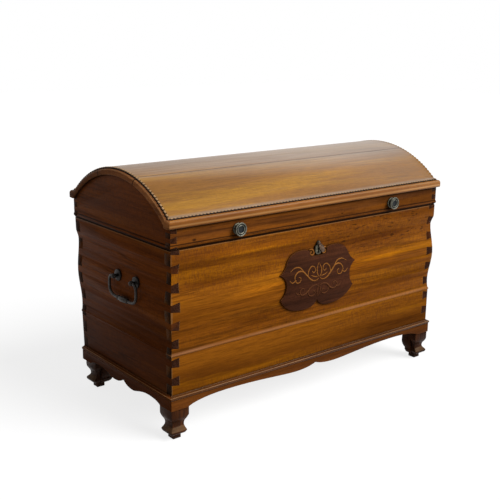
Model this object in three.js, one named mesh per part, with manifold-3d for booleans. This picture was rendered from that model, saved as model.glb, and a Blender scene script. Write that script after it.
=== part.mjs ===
// Dome top trunk: a dovetailed carcass with moulded walls on a plinth with an apron and ogee feet, and a
// hinged lid of dovetailed rails and gables under three curved dome boards.
// Millimetres. X runs along the front to the right, Y from front to back, Z up. The origin lies on the
// floor under the centre of the carcass.
import * as THREE from 'three';
import { mergeVertices } from 'three/addons/utils/BufferGeometryUtils.js';
import Module from 'manifold-3d';

const wasm = await Module();
wasm.setup();

// Driving dimensions
const bodyWidth = 1130;
const bodyDepth = 545;
const carcassHeight = 449;
const backLean = 27;
const plinthHeight = 32;
const footHeight = 99;
const lidHeight = 195.6;
const railHeight = 84.6;
const gap = 0.3;
const seamGap = 0.4;
const overrun = 40;

// Places that follow from the driving dimensions
const halfWidth = bodyWidth / 2;
const halfDepth = bodyDepth / 2;
const backFoot = halfDepth - backLean;
const carcassBase = footHeight + plinthHeight;
const lidBase = carcassBase + carcassHeight + seamGap;

// How finely curves are drawn
const curveSteps = 6;
const arcSteps = 8;
const archSteps = 4;
const ringSteps = 96;
const turnSteps = 16;
const rodSides = 12;
const mergeStep = 1e-4;

const walnut = new THREE.MeshStandardMaterial({ color: 0x8a5420, roughness: 0.45, metalness: 0 });
const paleWalnut = new THREE.MeshStandardMaterial({ color: 0xa97a3c, roughness: 0.4, metalness: 0 });
const darkWalnut = new THREE.MeshStandardMaterial({ color: 0x4a2c18, roughness: 0.5, metalness: 0 });
const shieldWood = new THREE.MeshStandardMaterial({ color: 0x46291f, roughness: 0.4, metalness: 0 });
const rawWood = new THREE.MeshStandardMaterial({ color: 0xb08a5c, roughness: 0.8, metalness: 0 });
const iron = new THREE.MeshStandardMaterial({ color: 0x26262a, roughness: 0.5, metalness: 0.9 });
const pewter = new THREE.MeshStandardMaterial({ color: 0x6f7468, roughness: 0.4, metalness: 0.9 });

const X = new THREE.Vector3(1, 0, 0);
const Y = new THREE.Vector3(0, 1, 0);
const Z = new THREE.Vector3(0, 0, 1);

// A closed geometry as a solid that can be joined and cut.
function solid(geometry) {
  const bare = new THREE.BufferGeometry();
  bare.setAttribute('position', geometry.getAttribute('position'));
  bare.setIndex(geometry.index);
  const merged = mergeVertices(bare, mergeStep);
  const corners = merged.index.array;
  const kept = [];
  for (let i = 0; i < corners.length; i += 3) {
    const [a, b, c] = corners.slice(i, i + 3);
    if (a !== b && b !== c && c !== a) kept.push(a, b, c);
  }
  return new wasm.Manifold(new wasm.Mesh({
    numProp: 3,
    vertProperties: merged.attributes.position.array,
    triVerts: new Uint32Array(kept),
  }));
}

function join(...solids) {
  return solids.reduce((sum, next) => sum.add(next));
}

// A named piece from a solid.
function piece(name, made, material) {
  const data = made.getMesh();
  const geometry = new THREE.BufferGeometry();
  geometry.setAttribute('position', new THREE.BufferAttribute(new Float32Array(data.vertProperties), 3));
  geometry.setIndex(new THREE.BufferAttribute(new Uint32Array(data.triVerts), 1));
  const flat = geometry.toNonIndexed();
  flat.computeVertexNormals();
  const mesh = new THREE.Mesh(flat, material);
  mesh.name = name;
  return mesh;
}

// A box between two corners.
function box(x0, x1, y0, y1, z0, z1) {
  const geometry = new THREE.BoxGeometry(x1 - x0, y1 - y0, z1 - z0);
  geometry.translate((x0 + x1) / 2, (y0 + y1) / 2, (z0 + z1) / 2);
  return solid(geometry);
}

// Prisms: along X from a shape drawn in (y, z), along Y from one in (x, z), along Z from one in (x, y).
function raised(shape, depth, steps) {
  return new THREE.ExtrudeGeometry(shape, { depth, bevelEnabled: false, curveSegments: steps });
}

function prismX(shape, x0, x1, steps = curveSteps) {
  const geometry = raised(shape, x1 - x0, steps);
  geometry.applyMatrix4(new THREE.Matrix4().makeBasis(Y, Z, X));
  geometry.translate(x0, 0, 0);
  return solid(geometry);
}

function prismY(shape, y0, y1, steps = curveSteps) {
  const geometry = raised(shape, y1 - y0, steps);
  geometry.applyMatrix4(new THREE.Matrix4().makeBasis(X, Z, Y.clone().negate()));
  geometry.translate(0, y1, 0);
  return solid(geometry);
}

// Round bars along X and along Y.
function rodX(radius, x0, x1, y, z, sides = rodSides) {
  const geometry = new THREE.CylinderGeometry(radius, radius, x1 - x0, sides);
  geometry.rotateZ(Math.PI / 2);
  geometry.translate((x0 + x1) / 2, y, z);
  return solid(geometry);
}

function rodY(radius, y0, y1, x, z, sides = rodSides) {
  const geometry = new THREE.CylinderGeometry(radius, radius, y1 - y0, sides);
  geometry.translate(x, (y0 + y1) / 2, z);
  return solid(geometry);
}

// A turned solid about Y from [radius, y] points, closed on the axis or on itself.
function turned(points, steps = turnSteps) {
  const outline = points.map(([radius, y]) => new THREE.Vector2(radius, y));
  if (THREE.ShapeUtils.area(outline) < 0) outline.reverse();
  if (outline[0].x > 0) outline.push(outline[0].clone());
  return new THREE.LatheGeometry(outline, steps);
}

// What lies past the 45 degree plane through a corner at (x, y): side 1 for a right corner, -1 for a left.
function mitreWaste(x, y, side) {
  const size = bodyWidth;
  const geometry = new THREE.BoxGeometry(size, size, size);
  geometry.translate(size / 2, 0, 0);
  geometry.rotateZ(side > 0 ? Math.PI / 4 : (3 * Math.PI) / 4);
  geometry.translate(x - side * gap * Math.SQRT1_2, y, 0);
  return solid(geometry);
}

// All that lies behind a plane at y, level with the carcass top, that stands further forward by lean at
// the carcass foot.
function behind(y, lean) {
  const low = -overrun;
  const high = carcassHeight + overrun;
  const far = halfDepth + 2 * overrun;
  const wide = halfWidth + 2 * overrun;
  const at = (z) => y - lean * (1 - z / carcassHeight);
  return prismX(new THREE.Shape([
    new THREE.Vector2(at(low), low), new THREE.Vector2(far, low),
    new THREE.Vector2(far, high), new THREE.Vector2(at(high), high),
  ]), -wide, wide);
}

// Wall profile: how far the moulded face stands out at each height, drawn from the bottom up.
const wallThickness = 27;
const wallProfile = {
  bandOut: 3, lipRound: 3, coveIn: 4, bulgeOut: 5.5, valleyIn: 3, ridgeOut: 2, ridgeRound: 5,
};
const wallHeightShares = {
  ridge: 0.305, valley: 0.39, valleyPull: 0.455, bulgeLow: 0.53, bulge: 0.606, bulgeHigh: 0.69,
  covePull: 0.77, cove: 0.84, coveTop: 0.87, bandPull: 0.892, band: 0.914,
};

function wallLine(grow) {
  const p = wallProfile;
  const at = (name) => wallHeightShares[name] * carcassHeight;
  const line = new THREE.Path();
  line.moveTo(0, 0);
  line.lineTo(0, at('ridge') - p.ridgeRound);
  line.quadraticCurveTo(p.ridgeOut, at('ridge') - p.ridgeRound, p.ridgeOut, at('ridge'));
  line.quadraticCurveTo(-p.valleyIn, at('ridge'), -p.valleyIn, at('valley'));
  line.bezierCurveTo(-p.valleyIn, at('valleyPull'), p.bulgeOut, at('bulgeLow'), p.bulgeOut, at('bulge'));
  line.bezierCurveTo(p.bulgeOut, at('bulgeHigh'), -p.coveIn, at('covePull'), -p.coveIn, at('cove'));
  line.bezierCurveTo(-p.coveIn, at('coveTop'), p.bandOut, at('bandPull'), p.bandOut, at('band'));
  line.lineTo(p.bandOut, carcassHeight - p.lipRound);
  line.quadraticCurveTo(p.bandOut, carcassHeight, p.bandOut - p.lipRound, carcassHeight);
  return line.getPoints(curveSteps).map((q) => new THREE.Vector2(q.x + grow, q.y));
}

// How far the moulded face stands out at most between two heights.
function wallReach(low, high) {
  return Math.max(...wallLine(0).filter((q) => q.y >= low && q.y <= high).map((q) => q.x));
}

// The carcass: moulded at the front, with a leaning back and, across that, moulded at both ends.
function frontEnvelope(grow = 0) {
  const front = wallLine(grow).map((q) => new THREE.Vector2(-halfDepth - q.x, q.y));
  const back = [new THREE.Vector2(halfDepth, carcassHeight), new THREE.Vector2(backFoot, 0)];
  return prismX(new THREE.Shape([...front, ...back]), -halfWidth - overrun, halfWidth + overrun);
}

function endEnvelope(grow = 0) {
  const left = wallLine(grow).map((q) => new THREE.Vector2(-halfWidth - q.x, q.y));
  const right = wallLine(grow).map((q) => new THREE.Vector2(halfWidth + q.x, q.y)).reverse();
  return prismY(new THREE.Shape([...left, ...right]), -halfDepth - overrun, halfDepth + overrun);
}

// Through dovetails: pins on the end boards, narrow at the outer face and wide at the inner one, in
// sockets between the tails of the front and back boards. Half pins close each corner.
const dovetail = { flareShare: 1 / 6, outerHalf: 10.5, count: 8, lidOuterHalf: 6, lidCount: 2, lidHeight: 56 };

function pinSolids(corner, grow) {
  const { reach, thickness, outerHalf, height, count, top } = corner;
  const inner = reach - thickness - grow;
  const outer = reach + overrun;
  const narrow = outerHalf + grow;
  const wide = narrow + (thickness + grow) * dovetail.flareShare;
  const pins = [];
  for (let k = 0; k <= count; k += 1) {
    const middle = (k * height) / count;
    const rise = k === count ? top - middle : 0;
    for (const side of [-1, 1]) {
      const outline = new THREE.Shape([
        new THREE.Vector2(side * inner, middle - wide),
        new THREE.Vector2(side * reach, middle - narrow),
        new THREE.Vector2(side * outer, middle - narrow),
        new THREE.Vector2(side * outer, middle + narrow + rise),
        new THREE.Vector2(side * reach, middle + narrow + rise),
        new THREE.Vector2(side * inner, middle + wide + rise),
      ]);
      pins.push(prismY(outline, -halfDepth - overrun, halfDepth + overrun));
    }
  }
  return join(...pins);
}

// Four boards cut from one envelope: front and back carry tails, left and right carry pins.
function dovetailedFrame(envelope, corner) {
  const { reach, depthReach, thickness, sideThickness, lean } = corner;
  const far = reach + overrun;
  const low = -overrun;
  const high = carcassHeight + overrun;
  const innerY = depthReach - sideThickness;
  const innerX = reach - thickness;
  const sockets = pinSolids(corner, gap);
  const frontSlab = box(-far, far, -depthReach - overrun, -innerY, low, high);
  const backSlab = behind(innerY, lean);
  const shoulders = join(
    box(-far, far, -depthReach - overrun, -innerY + gap, low, high),
    behind(innerY - gap, lean),
  ).subtract(pinSolids(corner, 0));
  const leftSlab = box(-far, -innerX, -depthReach - overrun, depthReach + overrun, low, high);
  const rightSlab = box(innerX, far, -depthReach - overrun, depthReach + overrun, low, high);
  return {
    front: envelope.intersect(frontSlab).subtract(sockets),
    back: envelope.intersect(backSlab).subtract(sockets),
    left: envelope.intersect(leftSlab).subtract(shoulders),
    right: envelope.intersect(rightSlab).subtract(shoulders),
  };
}

// Bottom boards, let into a groove round the four walls.
const bottom = { thickness: 15, rise: 14, tongue: 8, count: 3 };

function bottomGroove() {
  const x = halfWidth - wallThickness + bottom.tongue;
  const y = halfDepth - wallThickness + bottom.tongue;
  return box(-x, x, -y, y, bottom.rise, bottom.rise + bottom.thickness + 2 * gap)
    .subtract(behind(y, backLean));
}

function bottomBoard(index) {
  const x = halfWidth - wallThickness + bottom.tongue - gap;
  const y = halfDepth - wallThickness + bottom.tongue - gap;
  const pitch = (2 * y - backLean + gap) / bottom.count;
  const start = -y + index * pitch;
  const end = index === bottom.count - 1 ? y : start + pitch - gap;
  const z = bottom.rise + gap;
  return box(-x, x, start, end, z, z + bottom.thickness).subtract(behind(y, backLean));
}

// Keyhole, its plate and swinging cover, in (x, z) about the plate's centre.
const keyhole = { eyeRadius: 4.5, slotHalf: 2.6, slotDrop: 13, belowPlate: 5 };
const plate = { halfWidth: 13.5, halfHeight: 22, thickness: 4, drop: 74 };
const plateShares = { bellyZ: -0.36, shoulderX: 0.86, shoulderZ: 0.32, neckX: 0.4, neckZ: 0.5, lobeZ: 0.72 };
const cover = {
  pivotHeight: 14.5, neckHalf: 4.6, bellyHalf: 8.6, length: 37, thickness: 2.8, lift: 0.4, restAngle: 36,
};
const coverShares = { belly: 0.62, pull: 0.3 };
const rivet = { radius: 1.7, headRadius: 3.2, headHeight: 2.4, depth: 14 };
const plateZ = carcassHeight - plate.drop;
const plateFace = -halfDepth - plate.thickness - wallReach(plateZ - plate.halfHeight, plateZ + plate.halfHeight);
const pivotZ = plateZ + cover.pivotHeight;

function keyholeShape(grow) {
  const radius = keyhole.eyeRadius + grow;
  const half = keyhole.slotHalf + grow;
  const lean = Math.asin(half / radius);
  const eyeZ = plateZ - keyhole.belowPlate;
  const outline = new THREE.Shape();
  outline.moveTo(half, eyeZ - keyhole.slotDrop - grow);
  outline.lineTo(half, eyeZ - radius * Math.cos(lean));
  outline.absarc(0, eyeZ, radius, -Math.PI / 2 + lean, (3 * Math.PI) / 2 - lean, false);
  outline.lineTo(-half, eyeZ - keyhole.slotDrop - grow);
  return outline;
}

function keyholePlate() {
  const w = plate.halfWidth;
  const h = plate.halfHeight;
  const s = plateShares;
  const outline = new THREE.Shape();
  outline.moveTo(0, -h);
  outline.quadraticCurveTo(w, -h, w, s.bellyZ * h);
  outline.quadraticCurveTo(w, 0, s.shoulderX * w, s.shoulderZ * h);
  outline.quadraticCurveTo(s.neckX * w, s.shoulderZ * h, s.neckX * w, s.neckZ * h);
  outline.quadraticCurveTo(w / 2, s.lobeZ * h, s.neckX * w, h - (w * s.neckX) / 2);
  outline.quadraticCurveTo(s.neckX * w, h, 0, h);
  const half = outline.getPoints(curveSteps);
  const mirrored = half.slice(1, -1).reverse().map((q) => new THREE.Vector2(-q.x, q.y));
  const whole = [...half, ...mirrored].map((q) => new THREE.Vector2(q.x, q.y + plateZ));
  return prismY(new THREE.Shape(whole), plateFace, -halfDepth + overrun)
    .subtract(frontEnvelope(gap))
    .subtract(prismY(keyholeShape(0), -halfDepth - overrun, -halfDepth + overrun))
    .subtract(rodY(rivet.radius + gap, -halfDepth - overrun, -halfDepth + overrun, 0, pivotZ));
}

// The cover in its own frame: pivot at the origin, hanging down, back face in the plane y = 0.
function keyholeCover() {
  const outline = new THREE.Shape();
  const bellyZ = -coverShares.belly * cover.length;
  outline.moveTo(0, cover.neckHalf);
  outline.quadraticCurveTo(cover.neckHalf, cover.neckHalf, cover.neckHalf, 0);
  outline.bezierCurveTo(cover.neckHalf, bellyZ * coverShares.pull, cover.bellyHalf,
    bellyZ * (1 - coverShares.pull), cover.bellyHalf, bellyZ);
  outline.quadraticCurveTo(cover.bellyHalf, -cover.length, 0, -cover.length);
  const half = outline.getPoints(curveSteps);
  const mirrored = half.slice(1, -1).reverse().map((q) => new THREE.Vector2(-q.x, q.y));
  return prismY(new THREE.Shape([...half, ...mirrored]), -cover.thickness, 0)
    .subtract(rodY(rivet.radius + gap, -overrun, overrun, 0, 0));
}

// The rivet in the same frame: its head over the cover, its shank through plate and board.
function coverRivet() {
  const face = -cover.thickness - gap;
  return solid(turned([
    [0, face - rivet.headHeight], [rivet.headRadius / 2, face - rivet.headHeight],
    [rivet.headRadius, face - rivet.headHeight / 2], [rivet.headRadius, face],
    [rivet.radius, face], [rivet.radius, rivet.depth], [0, rivet.depth],
  ]));
}

// Applied shield: a cut outline that follows the moulded front, with its upper edge dipping round the
// keyhole plate. Points are shares of its half width and half height, each with the pull of its curve.
const shield = { halfWidth: 164, halfHeight: 99, belowPlate: 4.7, thickness: 6 };
const shieldDipShare = 0.73;
const shieldOutlineShares = [
  [[0.07, shieldDipShare], [0.13, 0.76]],
  [[0.235, 0.7], [0.225, 0.9]],
  [[0.24, 1.0], [0.424, 1.0]],
  [[0.72, 1.0], [0.81, 0.69]],
  [[0.87, 0.44], [1.0, 0.335]],
  [[0.84, 0.2], [0.84, -0.04]],
  [[0.84, -0.33], [0.97, -0.495]],
  [[0.8, -0.99], [0.376, -1.0]],
  [[0.08, -1.02], [0.0, -0.737]],
];

function shieldShape() {
  const middle = plateZ - plate.halfHeight - shield.belowPlate - shieldDipShare * shield.halfHeight;
  const point = ([x, z]) => [x * shield.halfWidth, middle + z * shield.halfHeight];
  const outline = new THREE.Shape();
  outline.moveTo(...point([0, shieldDipShare]));
  for (const [pull, end] of shieldOutlineShares) outline.quadraticCurveTo(...point(pull), ...point(end));
  const half = outline.getPoints(curveSteps);
  const mirrored = half.slice(1, -1).reverse().map((q) => new THREE.Vector2(-q.x, q.y));
  return new THREE.Shape([...half, ...mirrored]);
}

function shieldSolid() {
  return prismY(shieldShape(), -halfDepth - overrun, 0)
    .intersect(frontEnvelope(shield.thickness + gap))
    .subtract(frontEnvelope(gap));
}

// Lock: a case behind the front board with a guided bolt, and a staple on the lid that drops into it.
const lock = {
  halfWidth: 62, belowKey: 23, wall: 2.5, topDrop: 2, boltHeight: 12, boltDepth: 8, boltLength: 40,
  boltTop: 17, boltFront: 3.5, boltBack: 6, boltRest: 8,
  guideWall: 4, guideStart: 7, guideEnd: 40,
};
const staple = {
  halfWidth: 3, plateHalf: 20, plateHeight: 46, plateThickness: 3, plateRise: 2, armHeight: 6,
  cheek: 3.2, slack: 2.5, eyeSlack: 1, tail: 5,
};
const boardInside = -halfDepth + wallThickness;
const lockTop = carcassHeight - lock.topDrop;
const lockLow = plateZ - keyhole.belowPlate - lock.belowKey;
const boltZ = lockTop - lock.boltTop;
const boltY = boardInside + gap + lock.boltFront + lock.guideWall + lock.boltDepth;
const lockBack = boltY + lock.boltBack + lock.wall;

function boltSection(x0, x1, grow) {
  return box(x0, x1, boltY - lock.boltDepth - grow, boltY + grow, boltZ - lock.boltHeight - grow, boltZ + grow);
}

function lockBolt() {
  return boltSection(-lock.boltRest - lock.boltLength, -lock.boltRest, 0);
}

function lockCase() {
  const front = boardInside + gap;
  const back = lockBack;
  const w = lock.halfWidth;
  const shell = box(-w, w, front, back, lockLow, lockTop);
  const hollow = box(-w + lock.wall, w - lock.wall, front - overrun, back - lock.wall,
    lockLow + lock.wall, lockTop - lock.wall);
  const slotHalf = staple.halfWidth + staple.slack / 2;
  const slot = box(-slotHalf, slotHalf, front + gap, back - lock.wall - gap, lockTop - lock.wall - gap, lockTop + gap);
  const guides = [[-lock.boltRest - lock.boltLength - gap, -lock.guideStart], [lock.guideStart, lock.guideEnd]]
    .map(([x0, x1]) => box(x0, x1, boltY - lock.boltDepth - lock.guideWall, back - lock.wall,
      boltZ - lock.boltHeight - lock.guideWall, boltZ + lock.guideWall));
  const channel = boltSection(-lock.boltRest - lock.boltLength - overrun, lock.guideEnd + overrun, gap)
    .intersect(box(-w + lock.wall, w - lock.wall, front, back, lockLow, lockTop));
  return shell.subtract(hollow).subtract(slot).add(join(...guides)).subtract(channel);
}

// The staple, in the lid's frame.
function lockStaple() {
  const inside = -halfDepth - rail.proud + rail.thickness + gap;
  const fromLid = carcassHeight + seamGap;
  const eyeTop = boltZ - fromLid + staple.eyeSlack;
  const eyeLow = boltZ - lock.boltHeight - fromLid - staple.eyeSlack;
  const eyeFront = boltY - lock.boltDepth - staple.eyeSlack;
  const eyeBack = boltY + staple.eyeSlack;
  const w = staple.halfWidth;
  const plateSolid = box(-staple.plateHalf, staple.plateHalf, inside, inside + staple.plateThickness,
    staple.plateRise, staple.plateRise + staple.plateHeight);
  const arm = box(-w, w, inside, eyeBack + staple.cheek, staple.plateRise, staple.plateRise + staple.armHeight);
  const tongue = box(-w, w, eyeFront - staple.cheek, eyeBack + staple.cheek, eyeLow - staple.tail,
    staple.plateRise + staple.armHeight);
  const eye = box(-overrun, overrun, eyeFront, eyeBack, eyeLow, eyeTop);
  return join(plateSolid, arm, tongue).subtract(eye);
}

// Plinth: apron boards mitred at the front corners and ending at the carcass back's foot. The lobe is
// where an apron hangs lowest and the arch where it is cut highest. The last stretch ends over a foot.
const plinth = { proud: 8, thickness: 24, overFoot: 5 };
const frontApron = { cusp: 17, lobe: 5, lobeShare: 0.166, arch: 19.4, archShare: 0.722 };
const endApron = { cusp: 12, lobe: -4.5, lobeShare: 0.27, arch: 12.4, archShare: 0.69 };
const apronShares = {
  cuspPull: 0.2, lobePull: 0.45, lobeOut: 0.2, archIn: 0.45, archOut: 0.6, footIn: 0.1, footRise: 0.47,
};

// Half of an apron's lower edge from its central cusp to the foot, in (x, z) from the plinth's underside.
function apronLine(apron, footX) {
  const { cusp, lobe, arch } = apron;
  const lobeX = apron.lobeShare * footX;
  const archX = apron.archShare * footX;
  const s = apronShares;
  const line = new THREE.Path();
  line.moveTo(0, cusp);
  line.bezierCurveTo(s.cuspPull * lobeX, (cusp + lobe) / 2, s.lobePull * lobeX, lobe, lobeX, lobe);
  line.bezierCurveTo(lobeX + s.lobeOut * (archX - lobeX), lobe, archX - s.archIn * (archX - lobeX), arch, archX, arch);
  line.bezierCurveTo(archX + s.archOut * (footX - archX), arch,
    footX - s.footIn * (footX - archX), s.footRise * arch, footX, 0);
  return line.getPoints(arcSteps);
}

// An apron board along its local X, its wall plane at y = 0 and its outer face towards -y.
function apronBoard(x0, x1, apron, mitre0, mitre1) {
  const middle = (x0 + x1) / 2;
  const half = apronLine(apron, (x1 - x0) / 2 - foot.width + plinth.overFoot);
  const left = half.slice(1).reverse().map((q) => new THREE.Vector2(middle - q.x, q.y));
  const right = half.map((q) => new THREE.Vector2(middle + q.x, q.y));
  const low = x0 - (mitre0 ? overrun : 0);
  const high = x1 + (mitre1 ? overrun : 0);
  const outline = new THREE.Shape([
    new THREE.Vector2(low, 0), ...left, ...right, new THREE.Vector2(high, 0),
    new THREE.Vector2(high, plinthHeight), new THREE.Vector2(low, plinthHeight),
  ]);
  let board = prismY(outline, -plinth.proud, plinth.thickness - plinth.proud);
  if (mitre0) board = board.subtract(mitreWaste(x0, 0, -1));
  if (mitre1) board = board.subtract(mitreWaste(x1, 0, 1));
  return board;
}

function backPlinth() {
  const x = halfWidth + plinth.proud - plinth.thickness - gap;
  return box(-x, x, backFoot - plinth.thickness, backFoot, 0, plinthHeight);
}

// Mouldings are drawn as (out, z) lines from the wall, and run along their local X with out towards -y.
function mouldingStrip(line, x0, x1, mitre0, mitre1) {
  const outline = new THREE.Shape(line.getPoints(curveSteps).map((q) => new THREE.Vector2(-q.x, q.y)));
  let strip = prismX(outline, x0 - (mitre0 ? overrun : 0), x1 + (mitre1 ? overrun : 0));
  if (mitre0) strip = strip.subtract(mitreWaste(x0, 0, -1));
  if (mitre1) strip = strip.subtract(mitreWaste(x1, 0, 1));
  return strip;
}

const baseMoulding = { height: 14.5, proud: 10.5, fillet: 2.5, bead: 4, groove: 2.5, grooveIn: 3 };

function baseMouldingLine() {
  const m = baseMoulding;
  const line = new THREE.Path();
  line.moveTo(gap, gap);
  line.lineTo(m.proud - m.grooveIn, gap);
  line.lineTo(m.proud - m.grooveIn, m.groove);
  line.quadraticCurveTo(m.proud, m.groove, m.proud, m.groove + m.bead);
  line.quadraticCurveTo(m.proud, m.height - m.fillet, m.fillet + gap, m.height - m.fillet);
  line.lineTo(m.fillet + gap, m.height);
  line.lineTo(gap, m.height);
  return line;
}

// Ogee bracket foot: one outline sawn across from both outer sides. u runs inwards from the corner's
// planes, so the outer ogee has the lower values. The back feet stand further in from the ends.
const foot = {
  width: 57, backIn: 12, topOut: 5, ankle: 76, neckIn: 5.5, neck: 46, toeOut: 5.5, toe: 28, toeUnder: 18,
  padIn: 11, padHeight: 12, padWidth: 27, waist: 38.5, waistHeight: 50, heel: 50, heelHeight: 27, heelFoot: 15,
};

function footShape() {
  const f = foot;
  const top = footHeight - gap;
  const midDrop = (f.ankle + f.neck) / 2;
  const midToe = (f.neck + f.toe) / 2;
  const outline = new THREE.Shape();
  outline.moveTo(-f.topOut, top);
  outline.lineTo(-f.topOut, f.ankle);
  outline.bezierCurveTo(-f.topOut, midDrop, f.neckIn, midDrop, f.neckIn, f.neck);
  outline.bezierCurveTo(f.neckIn, midToe, -f.toeOut / 2, midToe - f.toeOut / 2, -f.toeOut, f.toe);
  outline.quadraticCurveTo(-f.toeOut, f.toeUnder, f.neckIn / 2, f.toeUnder);
  outline.quadraticCurveTo(f.padIn, f.toeUnder, f.padIn, f.padHeight);
  outline.lineTo(f.padIn, 0);
  outline.lineTo(f.padIn + f.padWidth, 0);
  outline.lineTo(f.padIn + f.padWidth, f.heelFoot);
  outline.lineTo(f.heel, f.heelHeight);
  outline.quadraticCurveTo(f.waist, f.waistHeight, f.width, f.ankle);
  outline.lineTo(f.width, top);
  return outline;
}

// Block glued into the foot's inner corner: it bulges inwards below the plinth and is swept in to the pad.
const footBlock = { start: 20, width: 58, wide: 73, topIn: 5, bulge: 62, sweep: 33, sweepIn: 9, base: 13 };

function footBlockShape(width) {
  const b = footBlock;
  const outline = new THREE.Shape();
  outline.moveTo(b.start, footHeight - gap);
  outline.lineTo(b.start, b.base);
  outline.lineTo(foot.padIn + foot.padWidth - gap, b.base);
  outline.quadraticCurveTo(width - b.sweepIn, b.base + gap, width - b.sweepIn, b.sweep);
  outline.quadraticCurveTo(width, (b.sweep + b.bulge) / 2, width, b.bulge);
  outline.quadraticCurveTo(width, footHeight - b.base, width - b.topIn, footHeight - gap);
  return outline;
}

// A foot whose block reaches in by one width along X and by another along Y.
function footSolid(widthX, widthY) {
  const shape = footShape();
  const reach = footBlock.wide + overrun;
  const ogee = prismX(shape, -reach, reach).intersect(prismY(shape, -reach, reach));
  const across = prismY(footBlockShape(widthX), footBlock.start, reach);
  const along = prismX(footBlockShape(widthY), footBlock.start, reach);
  return join(ogee, across.intersect(along));
}

// Lid: rails and gables stand proud of the carcass, with a bead worked along their lower edge.
const rail = { thickness: 24, gableThickness: 22, proud: 4, beadOut: 2, undercut: 2.5, beadLow: 4, beadHigh: 14 };
const railTop = railHeight;
const railReach = halfWidth + rail.proud;
const railDepthReach = halfDepth + rail.proud;

// Dome: an arc down from the crown that ends in a short flare, with room for a bead in front of its foot.
// The arc meets the flare's circle, whose centre lies above the foot, so its radius follows from both.
const dome = { thickness: 14, flare: 14, flareEnd: 15, footRise: 4, jointAngle: 15.2, endIn: 4.7 };
const domeBead = { width: 4.4, rise: 1.5, round: 2, stripHeight: 6.5 };
const radians = (degrees) => (degrees * Math.PI) / 180;
const flareEnd = radians(dome.flareEnd);
const domeFoot = railDepthReach - domeBead.width - 2 * gap;
const flareY = domeFoot + dome.flare * Math.sin(flareEnd);
const flareZ = railTop + dome.footRise + dome.flare * Math.cos(flareEnd);
const flareDrop = lidHeight - flareZ;
const domeRadius = (flareY * flareY + flareDrop * flareDrop - dome.flare * dome.flare) / (2 * (dome.flare + flareDrop));
const domeCentre = lidHeight - domeRadius;
const flareStart = Math.asin(flareY / (domeRadius + dome.flare));
const innerRadius = domeRadius - dome.thickness;
const gableRadius = innerRadius - gap;
const onCircle = (radius, z) => Math.sqrt(radius * radius - (z - domeCentre) * (z - domeCentre));

// One of the outer dome boards, drawn for the back, in (y, z): joint, arc, flare, foot and inner arc.
function domeSideShape() {
  const joint = radians(dome.jointAngle) + gap / 2 / innerRadius;
  const seat = railTop + gap;
  const innerEnd = Math.acos((seat - domeCentre) / innerRadius);
  const turn = Math.PI / 2;
  const outline = new THREE.Shape();
  outline.absarc(0, domeCentre, domeRadius, turn - joint, turn - flareStart, true);
  outline.absarc(flareY, flareZ, dome.flare, 3 * turn - flareStart, 3 * turn - flareEnd, false);
  outline.lineTo(domeFoot, seat);
  outline.absarc(0, domeCentre, innerRadius, turn - innerEnd, turn - joint, false);
  return outline;
}

function domeCrownShape() {
  const joint = radians(dome.jointAngle) - gap / 2 / innerRadius;
  const turn = Math.PI / 2;
  const outline = new THREE.Shape();
  outline.absarc(0, domeCentre, domeRadius, turn + joint, turn - joint, true);
  outline.absarc(0, domeCentre, innerRadius, turn - joint, turn + joint, false);
  return outline;
}

function domeBoard(shape) {
  const x = railReach - dome.endIn - gap;
  return prismX(shape, -x, x, arcSteps);
}

// The lid's frame between its outer planes, with the lower bead on the front and ends.
function railLine() {
  const r = rail;
  const middle = (r.beadLow + r.beadHigh) / 2;
  const line = new THREE.Path();
  line.moveTo(-r.undercut, 0);
  line.lineTo(-r.undercut / 2, r.beadLow);
  line.quadraticCurveTo(r.beadOut, r.beadLow, r.beadOut, middle);
  line.quadraticCurveTo(r.beadOut, r.beadHigh, 0, r.beadHigh);
  line.lineTo(0, railTop);
  return line.getPoints(curveSteps);
}

function lidEnvelope() {
  const front = railLine().map((q) => new THREE.Vector2(-railDepthReach - q.x, q.y));
  const shoulder = onCircle(gableRadius, railTop);
  const steps = 3 * arcSteps;
  const arch = [];
  const lean = Math.asin(shoulder / gableRadius);
  for (let k = 0; k <= steps; k += 1) {
    const angle = -lean + (2 * lean * k) / steps;
    arch.push(new THREE.Vector2(gableRadius * Math.sin(angle), domeCentre + gableRadius * Math.cos(angle)));
  }
  const back = [new THREE.Vector2(railDepthReach, railTop), new THREE.Vector2(railDepthReach, 0)];
  const section = prismX(new THREE.Shape([...front, ...arch, ...back]), -railReach - overrun, railReach + overrun);
  const left = railLine().map((q) => new THREE.Vector2(-railReach - q.x, q.y));
  const right = railLine().map((q) => new THREE.Vector2(railReach + q.x, q.y)).reverse();
  const tall = [new THREE.Vector2(-railReach, lidHeight), new THREE.Vector2(railReach, lidHeight)];
  return section.intersect(
    prismY(new THREE.Shape([...left, ...tall, ...right]), -railDepthReach - overrun, railDepthReach + overrun),
  );
}

// Nosing round the dome's foot: an ovolo above a face, drawn out from the rails.
const nosing = { height: 25, proud: 9.5, rise: 3, ovolo: 11.5, face: 3.5, toeDepth: 20 };
const nosingTop = railTop + nosing.rise;
const nosingBase = nosingTop - nosing.height;

function nosingPath(start) {
  const n = nosing;
  const line = new THREE.Path();
  line.moveTo(start, nosingBase);
  line.lineTo(n.proud - n.face, nosingBase);
  line.quadraticCurveTo(n.proud, nosingBase, n.proud, nosingBase + n.face);
  line.lineTo(n.proud, nosingTop - n.ovolo);
  line.quadraticCurveTo(n.proud, nosingTop, Math.max(start, 0), nosingTop);
  if (start < 0) line.lineTo(start, nosingTop);
  return line;
}

// Arch moulding of the right gable: an ovolo ring under the dome's edge, returned as a toe at each foot.
const arch = { drop: 4.5, height: 18, ovolo: 11, face: 3 };

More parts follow.
